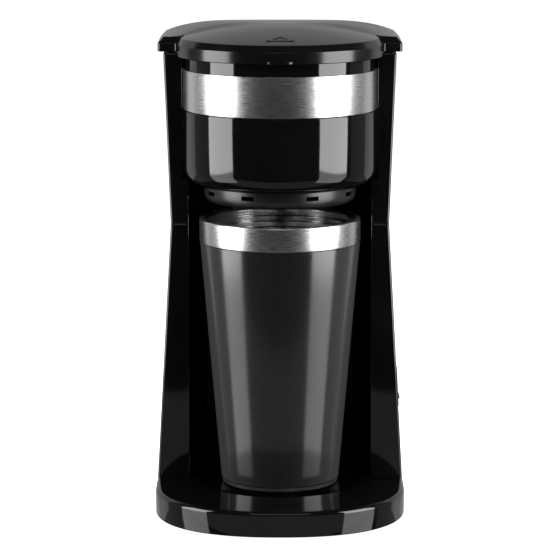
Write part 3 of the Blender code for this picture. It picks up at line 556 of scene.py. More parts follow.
def columnLoop(half, inset):  # the front strips, alcove and side walls as one thin C
    wall = body["wall"]
    outer = half - inset
    centre = body["back"] - body["rearCorner"]
    big = body["rearCorner"]
    small = big - wall
    split = math.asin((body["split"] - centre) / big)
    splitIn = math.asin((body["split"] - centre) / small)
    cx = half - big
    alcove = body["alcove"] + inset
    rim = math.asin((inset + 2 * mm) / alcove)
    back = body["alcove"] + wall
    rimIn = math.asin((wall + 2 * mm) / back)
    front = (inset, body["frontEdge"], 6)
    inner = (inset, body["alcoveEdge"], 5)
    corners = arcPoints(cx, centre, big - inset, split, 0, 8)
    corners += [(outer, *front), (alcove, *inner)]
    corners += arcPoints(0, 0, alcove, rim, math.pi - rim, 90)
    corners += [(-alcove, *inner), (-outer, *front)]
    corners += arcPoints(-cx, centre, big - inset, math.pi, math.pi - split, 8)
    corners += arcPoints(-cx, centre, small, math.pi - splitIn, math.pi, 6)
    corners += [(-half + wall, wall, 0, 0), (-back, wall, 0, 0)]
    corners += arcPoints(0, 0, back, math.pi - rimIn, rimIn, 60)
    corners += [(back, wall, 0, 0), (half - wall, wall, 0, 0)]
    corners += arcPoints(cx, centre, small, 0, splitIn, 6)
    return roundedLoop(corners)


def tallMesh(name, box, loopOf):  # a loop lofted up a box, its two ends a little rounded
    low, high = box[0].z, box[1].z
    edge = body["endEdge"]
    heights = [low, low + edge, low + 2 * edge] + [low + (high - low) * s / 8 for s in range(1, 8)]
    heights += [high - 2 * edge, high - edge, high]
    loops = []
    for i, height in enumerate(heights):
        inset = edge * 0.6 if i in (0, len(heights) - 1) else 0
        loops.append(at(loopOf(widthAt(height), inset), height))
    return loopMesh(name, loops)


def buildColumn():
    bm = bmesh.new()
    half = switch["half"]
    addBox(bm, (-half[0], -half[1], -10 * mm), (*half, 10 * mm), switchMatrix)
    mesh = carve(tallMesh("column", columnBox, columnLoop), finishMesh("switchCutter", bm))
    addPiece("column", mesh, [glossBlack], "body", ["column_front"])


switch = {
    "height": 70 * mm, "y": 30 * mm, "half": (6.5 * mm, 10.5 * mm), "border": (8.5 * mm, 12.5 * mm),
    "well": (5.0 * mm, 9.0 * mm), "key": (4.7 * mm, 8.4 * mm), "flange": 0.9 * mm, "depth": 9 * mm,
    "pivot": 2 * mm, "tilt": math.radians(7),
}
lean = math.atan2(body["footHalf"] - body["seamHalf"], housingBox[0].z - columnBox[0].z)
outward = Vector((math.cos(lean), 0, math.sin(lean)))
upward = Vector((-math.sin(lean), 0, math.cos(lean)))
switchMatrix = (
    Matrix.Translation((widthAt(switch["height"]), switch["y"], switch["height"]))
    @ Matrix((Vector((0, 1, 0)), upward, outward)).transposed().to_4x4()
)


def rearLoop(half, inset):
    wall = body["wall"]
    big = body["rearCorner"]
    small = big - wall
    centre = body["back"] - big
    start = rearBox[0].y
    split = math.asin((start - centre) / big)
    splitIn = math.asin((start - centre) / small)
    cx = half - big
    corners = arcPoints(cx, centre, big - inset, split, math.pi / 2, 24)
    corners += arcPoints(-cx, centre, big - inset, math.pi / 2, math.pi - split, 24)
    corners += arcPoints(-cx, centre, small, math.pi - splitIn, math.pi / 2, 24)
    corners += arcPoints(cx, centre, small, math.pi / 2, splitIn, 24)
    return roundedLoop(corners)


rear = {
    "screwX": 42 * mm, "low": 45 * mm, "high": 160 * mm, "well": 3.6 * mm, "wellWall": 1 * mm,
    "bore": 1.8 * mm, "seat": 8 * mm, "sunk": 1.5 * mm, "gland": 30 * mm, "glandHole": 5 * mm,
    "inside": 70 * mm, "past": 120 * mm,
}
rearScrews = [(side * rear["screwX"], height) for side in (-1, 1) for height in (rear["low"], rear["high"])]


def buildRearCover():
    start = rearBox[0].y
    seat = start + rear["seat"]
    bm = bmesh.new()
    for x, height in rearScrews:
        addRod(bm, (x, seat, height), (x, rear["past"], height), rear["well"])
    addRod(bm, (0, rear["inside"], rear["gland"]), (0, rear["past"], rear["gland"]), rear["glandHole"])
    mesh = carve(tallMesh("rearCover", rearBox, rearLoop), finishMesh("wellCutter", bm))
    addPiece("rearCover", mesh, [glossBlack], "body", ["rear_cover"])
    bm = bmesh.new()
    well, bore = rear["well"], rear["bore"]
    outer = well + rear["wellWall"]
    corner = body["rearCorner"]
    for x, height in rearScrews:
        aside = max(0, rear["screwX"] - (widthAt(height) - corner))
        reach = body["back"] - corner + math.sqrt((corner - 1 * mm) ** 2 - aside * aside)
        end = reach - rear["sunk"]
        spots = [(outer, end), (outer, start), (bore, start), (bore, seat), (well, seat), (well, end)]
        sleeve = turnedMesh("sleeve", [(*spot, 0) for spot in spots], 40)
        sleeve.transform(Matrix.Translation((x, 0, height)) @ Matrix.Rotation(math.radians(-90), 4, "X"))
        bm.from_mesh(sleeve)
    addPiece("screwPillars", finishMesh("screwPillars", bm), [satinBlack], "body")


def housingLoop(half, inset, bay):
    outer = half - inset
    rim = math.asin((inset + 2 * mm) / bay)
    front = (inset, max(body["frontEdge"] - inset, 0.3 * mm), 6)
    back = (body["back"] - inset, body["rearCorner"] - inset, 28)
    inner = (inset, body["alcoveEdge"], 5)
    corners = [(outer, *front), (outer, *back), (-outer, *back), (-outer, *front), (-bay, *inner)]
    corners += arcPoints(0, 0, bay, math.pi - rim, rim, 90)
    return roundedLoop(corners + [(bay, *inner)])


housing = {
    "ledge": 203.7 * mm, "bay": 59.0 * mm, "tankFloor": 182.2 * mm, "middle": 230 * mm, "floorEdge": 1 * mm,
}


def buildHousing():
    low, high = housingBox[0].z, lidBox[0].z + body["pastSkirt"]
    edge = body["endEdge"]
    wall = body["wall"]
    bay, alcove = housing["bay"], body["alcove"]
    ledge, floor = housing["ledge"], housing["tankFloor"]
    # height that sets the width, inset, radius of the round recess, height of the loop
    rows = [
        (low, edge * 0.6, alcove + edge * 0.6, low), (low + edge, 0, alcove, low + edge),
        (low + 2 * edge, 0, alcove, low + 2 * edge), (ledge, 0, alcove, ledge - 2 * edge),
        (ledge, 0, alcove, ledge - edge), (ledge, 0, alcove + edge, ledge), (ledge, 0, bay, ledge),
    ]
    heights = [ledge + (high - ledge) * step / 6 for step in range(1, 6)] + [high - 2 * edge, high - edge]
    rows += [(height, 0, bay, height) for height in heights]
    rows += [
        (high, edge * 0.7, bay + edge * 0.7, high), (high, wall - edge * 0.7, bay + wall - edge * 0.7, high),
    ]
    heights = (high - edge, high - 20 * mm, housing["middle"], floor + housing["floorEdge"])
    rows += [(height, wall, bay + wall, height) for height in heights]
    inner = wall + housing["floorEdge"]
    rows.append((floor, inner, bay + inner, floor))
    bm = bmesh.new()
    addLoops(bm, [at(housingLoop(widthAt(size), *loop), height) for size, *loop, height in rows])
    for side in (-1, 1):
        addLug(bm, side * hinge["earX"], lidBox[0].z - hinge["earRoot"])
    mesh = finishMesh("housing", bm)
    bm = bmesh.new()
    for name in ("check_valve_body", "riser_tube"):
        least, most = nodeBox(name)
        middle = (least + most) / 2
        radius = min(most.x - least.x, most.y - least.y) / 2 + gap
        start = (middle.x, middle.y, low - 5 * mm)
        addRod(bm, start, (middle.x, middle.y, floor + 5 * mm), radius, 64)
    mesh = carve(mesh, finishMesh("pipeCutter", bm))
    addPiece("housing", mesh, [glossBlack], "body", ["upper_housing"])


hinge = {
    "y": 82.5 * mm, "z": 285.0 * mm, "earX": 29 * mm, "earWidth": 4 * mm, "earRoot": 9 * mm,
    "knuckleRoot": 2.8 * mm, "radius": 2.9 * mm, "edge": 0.3 * mm, "room": 0.9 * mm, "past": 95 * mm,
}


def lugLoop(radius, base, x):
    y, z = hinge["y"], hinge["z"]
    points = [Vector((y - radius, base)), Vector((y + radius, base))]
    tip = 1 if base < z else -1
    for step in range(25):
        angle = math.pi * step / 24
        points.append(Vector((y + radius * math.cos(angle), z + tip * radius * math.sin(angle))))
    return [(x, p.x, p.y) for p in points]


def addLug(bm, middle, base):  # one round-ended lug from base to the hinge's axis
    edge = hinge["edge"]
    radius = hinge["radius"]
    near = middle - hinge["earWidth"] / 2
    far = near + hinge["earWidth"]
    addLoops(bm, [
        lugLoop(radius - edge, base, near), lugLoop(radius, base, near + edge),
        lugLoop(radius, base, far - edge), lugLoop(radius - edge, base, far),
    ])


buildColumn()
buildRearCover()
buildHousing()
print("column, rear cover and housing built")


# filter holder, steel band and drip collar

holder = {
    "radius": holderBox[1].x, "rim": 57.2 * mm, "groove": 57.5 * mm, "inner": 55.3 * mm, "corner": 10 * mm,
    "hole": 32 * mm, "ledgeDrop": 7 * mm, "shelf": 52.1 * mm, "bandSkin": 0.6 * mm,
}


def buildHolder():
    low, high = holderBox[0].z, holderBox[1].z
    bandLow, bandHigh = bandBox[0].z, bandBox[1].z
    ledge = high - holder["ledgeDrop"]
    wall = body["wall"]
    rim, groove, radius = holder["rim"], holder["groove"], holder["radius"]
    hole, inner, shelf = holder["hole"], holder["inner"], holder["shelf"]
    mesh = turnedMesh("holder", [
        (rim, high, 0.6 * mm), (rim, bandHigh + gap, 0), (groove, bandHigh + gap, 0),
        (groove, bandLow - gap, 0), (radius, bandLow - gap, 0.5 * mm), (radius, low, holder["corner"]),
        (hole, low, 0.5 * mm), (hole, low + wall, 0.5 * mm), (inner, low + wall, holder["corner"] - wall),
        (inner, ledge - 5 * mm, 0), (shelf, ledge - 2.5 * mm, 0.4 * mm), (shelf, ledge, 0.4 * mm),
        (inner, ledge, 0.3 * mm), (inner, high, 0.6 * mm),
    ], roundSteps)
    addPiece("holder", mesh, [glossBlack], "body", ["filter_holder"])
    outer = bandBox[1].x
    inner = outer - holder["bandSkin"]
    mesh = turnedMesh("steelBand", [
        (outer, bandHigh, 0.25 * mm), (outer, bandLow, 0.25 * mm), (inner, bandLow, 0), (inner, bandHigh, 0),
    ], roundSteps)
    addPiece("steelBand", mesh, [brushedSteel], "body", ["holder_steel_band"])


collar = {
    "radius": 46 * mm, "outlet": 9 * mm, "corner": 5.2 * mm, "slotWidth": 8 * mm, "slotHeight": 2.6 * mm,
    "slotDepth": 5 * mm, "slots": (25, 64, 116, 155),  # degrees round from the front
}


def buildCollar():
    low = collarBox[0].z
    high = holderBox[0].z - gap
    wall = body["wall"]
    ring = holder["hole"] - gap
    radius, outlet = collar["radius"], collar["outlet"]
    mesh = turnedMesh("collar", [
        (ring, high + wall, 0.3 * mm), (ring, high, 0), (radius, high, 0.4 * mm),
        (radius, low, collar["corner"]), (outlet, low, 0.6 * mm), (outlet, low + wall, 0.6 * mm),
        (radius - wall, low + wall, 3 * mm), (radius - wall, high - wall, 0.5 * mm),
        (ring - wall, high - wall, 0.3 * mm), (ring - wall, high + wall, 0.3 * mm),
    ], roundSteps)
    bm = bmesh.new()
    half = collar["slotWidth"] / 2
    tall = collar["slotHeight"] / 2
    deep = collar["slotDepth"]
    middle = high - wall - tall - 0.3 * mm
    for side in (-1, 1):
        for degrees in collar["slots"]:
            turn = Matrix.Rotation(math.radians(side * degrees - 90), 4, "Z")
            addBox(bm, (radius - deep, -half, middle - tall), (radius + deep, half, middle + tall), turn)
    mesh = carve(mesh, finishMesh("slotCutter", bm))
    addPiece("collar", mesh, [collarBlack], "body", ["drip_collar"])


buildHolder()
buildCollar()
print("holder and collar built")


# lid

lid = {
    "side": lidBox[1].x, "back": lidBox[1].y, "lobe": 62.9 * mm, "corner": 38 * mm, "frontCorner": 2 * mm,
    "skirt": lidBox[0].z, "low": lidBox[0].z + 2 * mm, "wallTop": lidBox[0].z + 7 * mm, "edge": 3.4 * mm,
    "rise": 3.8 * mm, "crown": 8.7 * mm, "centre": 12 * mm, "wall": 2.2 * mm, "lip": 0.4 * mm,
    "sharesFront": 2.0, "sharesRear": 5.0, "blend": (-5 * mm, 35 * mm), "skirtEnd": -0.9 * mm,
    "tab": 14 * mm, "tabReach": 1.6 * mm, "tabLow": 0.3 * mm, "tabHeight": 1.2 * mm,
    "mark": (20 * mm, 10 * mm, 0.48), "markY": -46 * mm, "markRise": 0.45 * mm, "markSunk": 0.3 * mm,
}


def crownBlend(y):  # 0 ahead of the crown's shoulder, 1 behind it
    share = (y - lid["blend"][0]) / (lid["blend"][1] - lid["blend"][0])
    return smooth(share)


def crownHalf(y):  # half the crown's width: lobe ahead, sides behind, round rear corners
    lobe = lid["lobe"] - lid["edge"]
    side = lid["side"] - lid["edge"]
    corner = lid["corner"] - lid["edge"]
    past = y - (lid["back"] - lid["corner"])
    if past > 0:
        return side - corner + math.sqrt(max(corner * corner - past * past, 0))
    front = math.sqrt(max(lobe * lobe - min(y, 0) ** 2, 0))
    return front + (side - front) * crownBlend(y)


def lidTop(x, y):
    half = crownHalf(y)
    power = lid["sharesFront"] + (lid["sharesRear"] - lid["sharesFront"]) * crownBlend(y)
    across = max(1 - (abs(x) / half) ** power, 0) if half > 0 else 0
    reach = lid["centre"] + lid["lobe"] - lid["edge"]
    if y > lid["centre"]:
        reach = lid["back"] - lid["edge"] - lid["centre"]
    ahead = max(1 - ((y - lid["centre"]) / reach) ** 2, 0)
    return lid["wallTop"] + lid["rise"] + lid["crown"] * across * ahead


def smooth(value):
    value = min(max(value, 0), 1)
    return value * value * (3 - 2 * value)


def lidLoop(inset):
    side = lid["side"] - inset
    back = lid["back"] - inset
    lobe = lid["lobe"] - inset
    corner = lid["corner"] - inset
    start = math.asin(inset / lobe)
    reach = lobe * math.cos(start)
    front = (inset, lid["frontCorner"], 6)
    corners = [(side, *front), (side, back, corner, 30), (-side, back, corner, 30), (-side, *front)]
    corners.append((-reach, inset, 1 * mm, 5))
    skip = 2 * mm / lobe
    count = 150
    for step in range(count + 1):
        angle = math.pi - start + skip + (math.pi + 2 * start - 2 * skip) * step / count
        corners.append((lobe * math.cos(angle), lobe * math.sin(angle), 0, 0))
    corners.append((reach, inset, 1 * mm, 5))
    return roundedLoop(corners)


def lidFoot(p):  # the lobe's skirt hangs lower than the wings
    return lid["skirt"] if p.y < lid["skirtEnd"] else lid["low"]


def lidShell(inset, drop):  # loops from the top of the skirt to the middle of the crown
    edge = lid["edge"]
    top = lid["wallTop"] - drop
    high = top + lid["rise"]
    spots = ((0, top - 4 * mm), (0, top), (edge, high), (edge + 4 * mm, high + 0.8 * mm))
    foot, corner, shoulder, end = [Vector(spot) for spot in spots]
    section = fillet(foot, corner, shoulder, 0.8 * mm, 4) + fillet(corner, shoulder, end, 0.5 * mm, 4)
    loops = [at(lidLoop(inset + p.x), p.y) for p in section]
    centre = Vector((0, lid["centre"]))
    ring = lidLoop(inset + edge)
    for step in range(14):
        share = 0.965 * (1 - step / 14) ** 0.8
        loop = [centre + (p - centre) * share for p in ring]
        loops.append([(p.x, p.y, lidTop(p.x, p.y) - drop) for p in loop])
    return loops


def buildLid():
    lip = lid["lip"]
    wall = lid["wall"]
    foot = [[(p.x, p.y, lidFoot(p)) for p in lidLoop(lip)]]
    foot.append([(p.x, p.y, lidFoot(p) + lip) for p in lidLoop(0)])
    inner = [[(p.x, p.y, lidFoot(p)) for p in lidLoop(wall)]]
    inner += lidShell(wall, wall)
    mesh = loopMesh("lid", list(reversed(inner)) + foot + lidShell(0, 0))
    bm = bmesh.new()
    room = hinge["radius"] + hinge["room"]
    half = hinge["earWidth"] / 2 + gap
    for side in (-1, 1):
        x = side * hinge["earX"]
        outerX = x + side * half
        innerX = x - side * (half + 2 * mm)
        low = (min(outerX, innerX), hinge["y"] - room, lid["skirt"] - 5 * mm)
        addBox(bm, low, (max(outerX, innerX), hinge["past"], hinge["z"] + room))
    mesh = carve(mesh, finishMesh("earCutter", bm))
    addPiece("lid", mesh, [lidBlack], "lid", ["lid"])
    buildTab()
    buildKnuckles()
    buildMark()


def buildTab():  # the round tab under the front edge that a fingertip lifts
    lobe = lid["lobe"]
    radius = lid["tab"]
    middle = radius - lid["tabReach"] - lobe
    outside = lobe - 0.4 * mm
    y = (outside ** 2 - radius ** 2 + middle ** 2) / (2 * middle)
    half = math.sqrt(outside ** 2 - y ** 2)
    start = math.atan2(y - middle, half)
    points = []
    for step in range(41):
        angle = math.pi - start + (math.pi + 2 * start) * step / 40
        points.append(Vector((radius * math.cos(angle), middle + radius * math.sin(angle))))
    back = lobe - 1.2 * mm
    for step in range(13):
        x = half * 0.97 * (1 - 2 * step / 12)
        points.append(Vector((x, -math.sqrt(back ** 2 - x ** 2))))
    low = lid["skirt"] + lid["tabLow"]
    high = low + lid["tabHeight"]
    anchor = Vector((0, -back))
    loops = []
    for height, shrink in ((low, 0.975), (low + 0.3 * mm, 1), (high - 0.3 * mm, 1), (high, 0.975)):
        loops.append([(*(anchor + (p - anchor) * shrink), height) for p in points])
    addPiece("lidTab", loopMesh("lidTab", loops), [lidBlack], "lid")


def buildKnuckles():
    bm = bmesh.new()
    for side in (-1, 1):
        middle = side * (hinge["earX"] + hinge["earWidth"] + gap)
        addLug(bm, middle, hinge["z"] + hinge["knuckleRoot"])
    addPiece("lidKnuckles", finishMesh("lidKnuckles", bm), [lidBlack], "lid")


def buildMark():  # a raised, outlined triangle where the lid is lifted
    width, depth, hollow = lid["mark"]
    y = lid["markY"]
    base = y - depth / 2
    spots = ((-width / 2, base), (width / 2, base), (0, base + depth))
    outer = roundedLoop([(*spot, 1 * mm, 5) for spot in spots])
    middle = Vector((0, base + depth * 0.36))
    rise = lid["markRise"]
    sunk = -lid["markSunk"]
    loops = []
    section = (
        (hollow, sunk), (hollow, rise * 0.7), (hollow + 0.03, rise), (0.98, rise), (1, rise * 0.7), (1, sunk),
        (hollow, sunk),
    )
    for share, lift in section:
        ring = [middle + (p - middle) * share for p in outer]
        loops.append([(p.x, p.y, lidTop(p.x, p.y) + lift) for p in ring])
    addPiece("lidMark", loopMesh("lidMark", loops, ends=False), [lidBlack], "lid")


buildLid()
print("lid built")


# mug

mug = {
    "radius": rimBox[1].x, "mouth": 44.8 * mm, "top": rimBox[1].z, "bandLow": rimBox[0].z,
    "base": 36 * mm, "shellTop": shellBox[1].x, "thread": 0.8 * mm, "pitch": 3.5 * mm, "turns": 3,
    "linerBase": 32 * mm,
}


def buildMug():
    top, low = mug["top"], mug["bandLow"]
    radius = mug["radius"]
    bore = radius - 1.9 * mm
    mouth = mug["mouth"] + 1.3 * mm
    mesh = turnedMesh("mugRim", [
        (radius, top, 1.3 * mm), (radius, low, 0.35 * mm), (bore, low, 0), (bore, top - 2.2 * mm, 0),
        (mouth, top - 1.4 * mm, 0.2 * mm), (mouth, top, 0.4 * mm),
    ], roundSteps)
    addPiece("mugRim", mesh, [brushedSteel], "mug", ["mug_rim_band"])
    low, top = shellBox[0].z, shellBox[1].z
    skin = 1.6 * mm
    foot, outer = mug["base"], mug["shellTop"]
    mesh = turnedMesh("mugShell", [
        (0, low + skin, 0), (foot - skin, low + skin, 1 * mm), (outer - skin, top, 0.2 * mm),
        (outer, top, 0.4 * mm), (foot, low, 1.6 * mm), (0, low, 0),
    ], roundSteps)
    addPiece("mugShell", mesh, [charcoalPaint], "mug", ["mug_shell"])
    low, top = mugFootBox[0].z, mugFootBox[1].z
    mesh = turnedMesh("mugFoot", [
        (foot - 0.4 * mm, top, 0), (foot - 1.0 * mm, low, 0.8 * mm), (25.2 * mm, low, 0.6 * mm),
        (23.4 * mm, top, 0),
    ], 120)
    addPiece("mugFoot", mesh, [rubberMaterial], "mug", ["mug_foot"])
    buildLiner()


def buildLiner():
    top = mug["top"] - gap
    floor = linerBox[0].z
    mouth = mug["mouth"]
    base = mug["linerBase"]
    skin = 0.9 * mm
    step = mug["thread"]
    shoulder = top - 15 * mm
    corners = [(0, floor + skin, 0), (base, floor + skin, 4 * mm), (mouth - step, shoulder, 0.6 * mm)]
    for turn in range(mug["turns"]):
        low = shoulder + 2.2 * mm + turn * mug["pitch"]
        corners += [
            (mouth - step, low, 0.3 * mm), (mouth, low + step, 0.3 * mm),
            (mouth, low + 2 * step, 0.3 * mm), (mouth - step, low + 3 * step, 0.3 * mm),
        ]
    corners += [
        (mouth - step, top - 1.4 * mm, 0.3 * mm), (mouth, top, 0.4 * mm), (mouth + skin, top, 0.3 * mm),
        (mouth + skin, shoulder, 0.5 * mm), (base + skin, floor, 4 * mm), (0, floor, 0),
    ]
    mesh = turnedMesh("mugLiner", corners, roundSteps)
    addPiece("mugLiner", mesh, [linerSteel], "mug", ["mug_liner"])


buildMug()
print("mug built")


# switch

def buildSwitch():
    bx, by = switch["border"]
    wx, wy = switch["well"]
    hx, hy = switch["half"]
    flange = switch["flange"]

    def frameLoop(x, y, corner, height):
        loop = roundedLoop([(-x, -y, corner, 6), (x, -y, corner, 6), (x, y, corner, 6), (-x, y, corner, 6)])
        return [tuple(switchMatrix @ Vector((p.x, p.y, height))) for p in loop]

    edge = 0.5 * mm
    loops = [
        frameLoop(hx - gap, hy - gap, 0.8 * mm, -switch["depth"]),
        frameLoop(hx - gap, hy - gap, 0.8 * mm, 0.2 * mm),
        frameLoop(bx, by, 1.8 * mm, 0.2 * mm), frameLoop(bx, by, 1.8 * mm, flange - edge),
        frameLoop(bx - edge * 0.3, by - edge * 0.3, 1.7 * mm, flange - edge * 0.3),
        frameLoop(bx - edge, by - edge, 1.4 * mm, flange), frameLoop(wx + edge, wy + edge, 1.0 * mm, flange),
        frameLoop(wx, wy, 0.7 * mm, flange - edge), frameLoop(wx, wy, 0.7 * mm, 2 * mm - switch["depth"]),
    ]
    mesh = loopMesh("switchBezel", loops)
    addPiece("switchBezel", mesh, [satinBlack], "body", ["switch_bezel"])
    buildRocker()


def buildRocker():
    kx, ky = switch["key"]
    depth = switch["pivot"]
    profile = roundedLine([
        (ky, depth + 1 * mm, 0.6 * mm), (ky * 0.5, depth + 0.15 * mm, 3 * mm), (0, depth, 2 * mm),
        (-ky * 0.5, depth + 0.15 * mm, 3 * mm), (-ky, depth + 1 * mm, 0.6 * mm), (-ky, 0, 0.5 * mm),
        (-ky / 2, -depth - 0.5 * mm, 0.8 * mm), (ky / 2, -depth - 0.5 * mm, 0.8 * mm), (ky, 0, 0.5 * mm),
    ], True)
    place = switchMatrix @ Matrix.Translation((0, 0, -depth)) @ Matrix.Rotation(-switch["tilt"], 4, "X")
    middle = Vector((0, 0.5 * mm))
    loops = []
    for x, shrink in ((-kx, 0.95), (-kx + 0.4 * mm, 1), (kx - 0.4 * mm, 1), (kx, 0.95)):
        ring = [middle + (p - middle) * shrink for p in profile]
        loops.append([tuple(place @ Vector((x, p.x, p.y))) for p in ring])
    addPiece("rocker", loopMesh("rocker", loops), [satinBlack], "rocker", ["power_rocker"])


buildSwitch()
print("switch built")


# repeated pieces, set out by Geometry Nodes

def newTree(name, inputs):
    tree = bpy.data.node_groups.new(name, "GeometryNodeTree")
    tree.interface.new_socket("Geometry", in_out="INPUT", socket_type="NodeSocketGeometry")
    for label, kind in inputs:
        tree.interface.new_socket(label, in_out="INPUT", socket_type="NodeSocket" + kind)
    tree.interface.new_socket("Geometry", in_out="OUTPUT", socket_type="NodeSocketGeometry")
    return tree, tree.nodes.new("NodeGroupInput").outputs, tree.nodes.new("NodeGroupOutput")


def endTree(tree, inputs, output, instances):
    realize = makeNode(tree, "GeometryNodeRealizeInstances", {"Geometry": instances}).outputs[0]
    paint = makeNode(tree, "GeometryNodeSetMaterial", {"Geometry": realize, "Material": inputs["Material"]})
    setInputs(tree, output, {"Geometry": paint.outputs["Geometry"]})


def spreadItem(tree, inputs, points, turn):  # the item, as an instance, on each point
    item = makeNode(tree, "GeometryNodeObjectInfo", {"As Instance": True, "Object": inputs["Item"]})
    values = {"Points": points, "Instance": item.outputs["Geometry"], "Rotation": turn}
    return makeNode(tree, "GeometryNodeInstanceOnPoints", values).outputs["Instances"]


def ringTree():  # Count copies of Item, turned evenly round Z
    tree, inputs, output = newTree("ring", [
        ("Item", "Object"), ("Count", "Int"), ("Start Angle", "Float"), ("Material", "Material"),
    ])
    circle = makeNode(tree, "GeometryNodeMeshCircle", {"Vertices": inputs["Count"], "Radius": 0})
    index = makeNode(tree, "GeometryNodeInputIndex").outputs["Index"]
    share = mathNode(tree, "DIVIDE", index, inputs["Count"])
    angle = mathNode(tree, "ADD", mathNode(tree, "MULTIPLY", share, 2 * math.pi), inputs["Start Angle"])
    turn = makeNode(tree, "ShaderNodeCombineXYZ", {"Z": angle}).outputs[0]
    endTree(tree, inputs, output, spreadItem(tree, inputs, circle.outputs["Mesh"], turn))
    return tree


def screwTree():  # Item on each point, turned to Facing and then by a random angle round its own axis
    tree, inputs, output = newTree("screws", [
        ("Item", "Object"), ("Facing", "Vector"), ("Seed", "Int"), ("Material", "Material"),
    ])
    chance = makeNode(
        tree, "FunctionNodeRandomValue", {"Max": math.pi / 2, "Seed": inputs["Seed"]}, data_type="FLOAT"
    )
    angle = next(o for o in chance.outputs if o.enabled and o.type == "VALUE")
    turn = makeNode(tree, "ShaderNodeCombineXYZ", {"Z": angle}).outputs[0]
    spread = spreadItem(tree, inputs, inputs["Geometry"], inputs["Facing"])
    turned = makeNode(tree, "GeometryNodeRotateInstances", {"Instances": spread, "Rotation": turn})
    endTree(tree, inputs, output, turned.outputs["Instances"])
    return tree


def growMesh(tree, mesh, values):  # the plain mesh that a tree makes from a mesh
    grower = bpy.data.objects.new("grower", mesh)
    scene.collection.objects.link(grower)
    modifier = grower.modifiers.new("grow", "NODES")
    modifier.node_group = tree
    for entry in tree.interface.items_tree:
        if entry.in_out == "INPUT" and entry.name in values:
            modifier[entry.identifier] = values[entry.name]
    result = bpy.data.meshes.new_from_object(grower.evaluated_get(bpy.context.evaluated_depsgraph_get()))
    grower.modifiers.remove(modifier)
    bpy.data.objects.remove(grower)
    return smoothMesh(result)


def itemObject(name, mesh):
    item = bpy.data.objects.new(name, mesh)
    scene.collection.objects.link(item)
    return item


screws = {
    "radius": 1.5 * mm, "head": 2.9 * mm, "tall": 1.8 * mm, "thread": 0.35 * mm, "pitch": 1.1 * mm,
    "cross": (1.7 * mm, 0.35 * mm, 1.1 * mm), "seed": 7,
}


def screwMesh(length):  # head outward along +Z with its top at the origin, shank down
    tall, head = screws["tall"], screws["head"]
    radius, pitch = screws["radius"], screws["pitch"]
    root = radius - screws["thread"]
    corners = [(0, 0, 0), (head, 0, 1.1 * mm), (head, -tall, 0.15 * mm), (radius, -tall, 0)]
    height = -tall - 1 * mm
    while height - pitch > -length + 1 * mm:
        corners += [(radius, height, 0), (root, height - pitch * 0.35, 0), (root, height - pitch * 0.65, 0)]
        height -= pitch
    corners += [(radius, height, 0), (radius * 0.4, -length, 0), (0, -length, 0)]
    mesh = turnedMesh("screw", list(reversed(corners)), 32)
    wide, narrow, deep = screws["cross"]
    for x, y in ((wide, narrow), (narrow, wide)):
        bm = bmesh.new()
        addBox(bm, (-x, -y, -deep), (x, y, 1 * mm))
        mesh = carve(mesh, finishMesh("crossCutter", bm))
    return mesh


def screwPlace(name):  # head end, outward axis and length of a screw, from its solid
    low, high = nodeBox(name)
    middle = (low + high) / 2
    size = high - low
    axis = max(range(3), key=lambda i: size[i])
    half = min(size) / 2
    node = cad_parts[name]
    across = [i for i in range(3) if i != axis]
    wide = []
    for vertex in node.data.vertices:
        spot = node.matrix_world @ vertex.co - middle
        if math.hypot(spot[across[0]], spot[across[1]]) > 0.8 * half:
            wide.append(spot[axis])
    side = 1 if sum(wide) > 0 else -1
    head = middle.copy()
    head[axis] += side * size[axis] / 2
    return head, axis, side, round(size[axis], 4)


def buildScrews():
    tree = screwTree()
    groups = {}
    for name in sorted(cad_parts):
        if "screw" in name:
            head, axis, side, length = screwPlace(name)
            groups.setdefault((axis, side, length), []).append((name, head))
    for (axis, side, length), entries in groups.items():
        facing = Vector([side if i == axis else 0 for i in range(3)]).to_track_quat("Z", "Y").to_euler()
        item = itemObject("screwItem", screwMesh(length))
        mesh = bpy.data.meshes.new("screwPoints")
        mesh.from_pydata([head for name, head in entries], [], [])
        values = {"Item": item, "Facing": tuple(facing), "Seed": screws["seed"], "Material": screwSteel}
        names = [name for name, head in entries]
        title = names[0].split("_")[0] + "Screws"
        addPiece(title, growMesh(tree, mesh, values), [], "body", names)
        bpy.data.objects.remove(item)


sieve = {
    "ribs": 6, "ribWidth": 2.2 * mm, "skin": 0.8 * mm, "base": 36 * mm, "weave": 0.3 * mm, "rim": 3.1 * mm,
    "baseRing": 3 * mm, "rimStep": 0.5 * mm, "edge": 0.2 * mm,
}


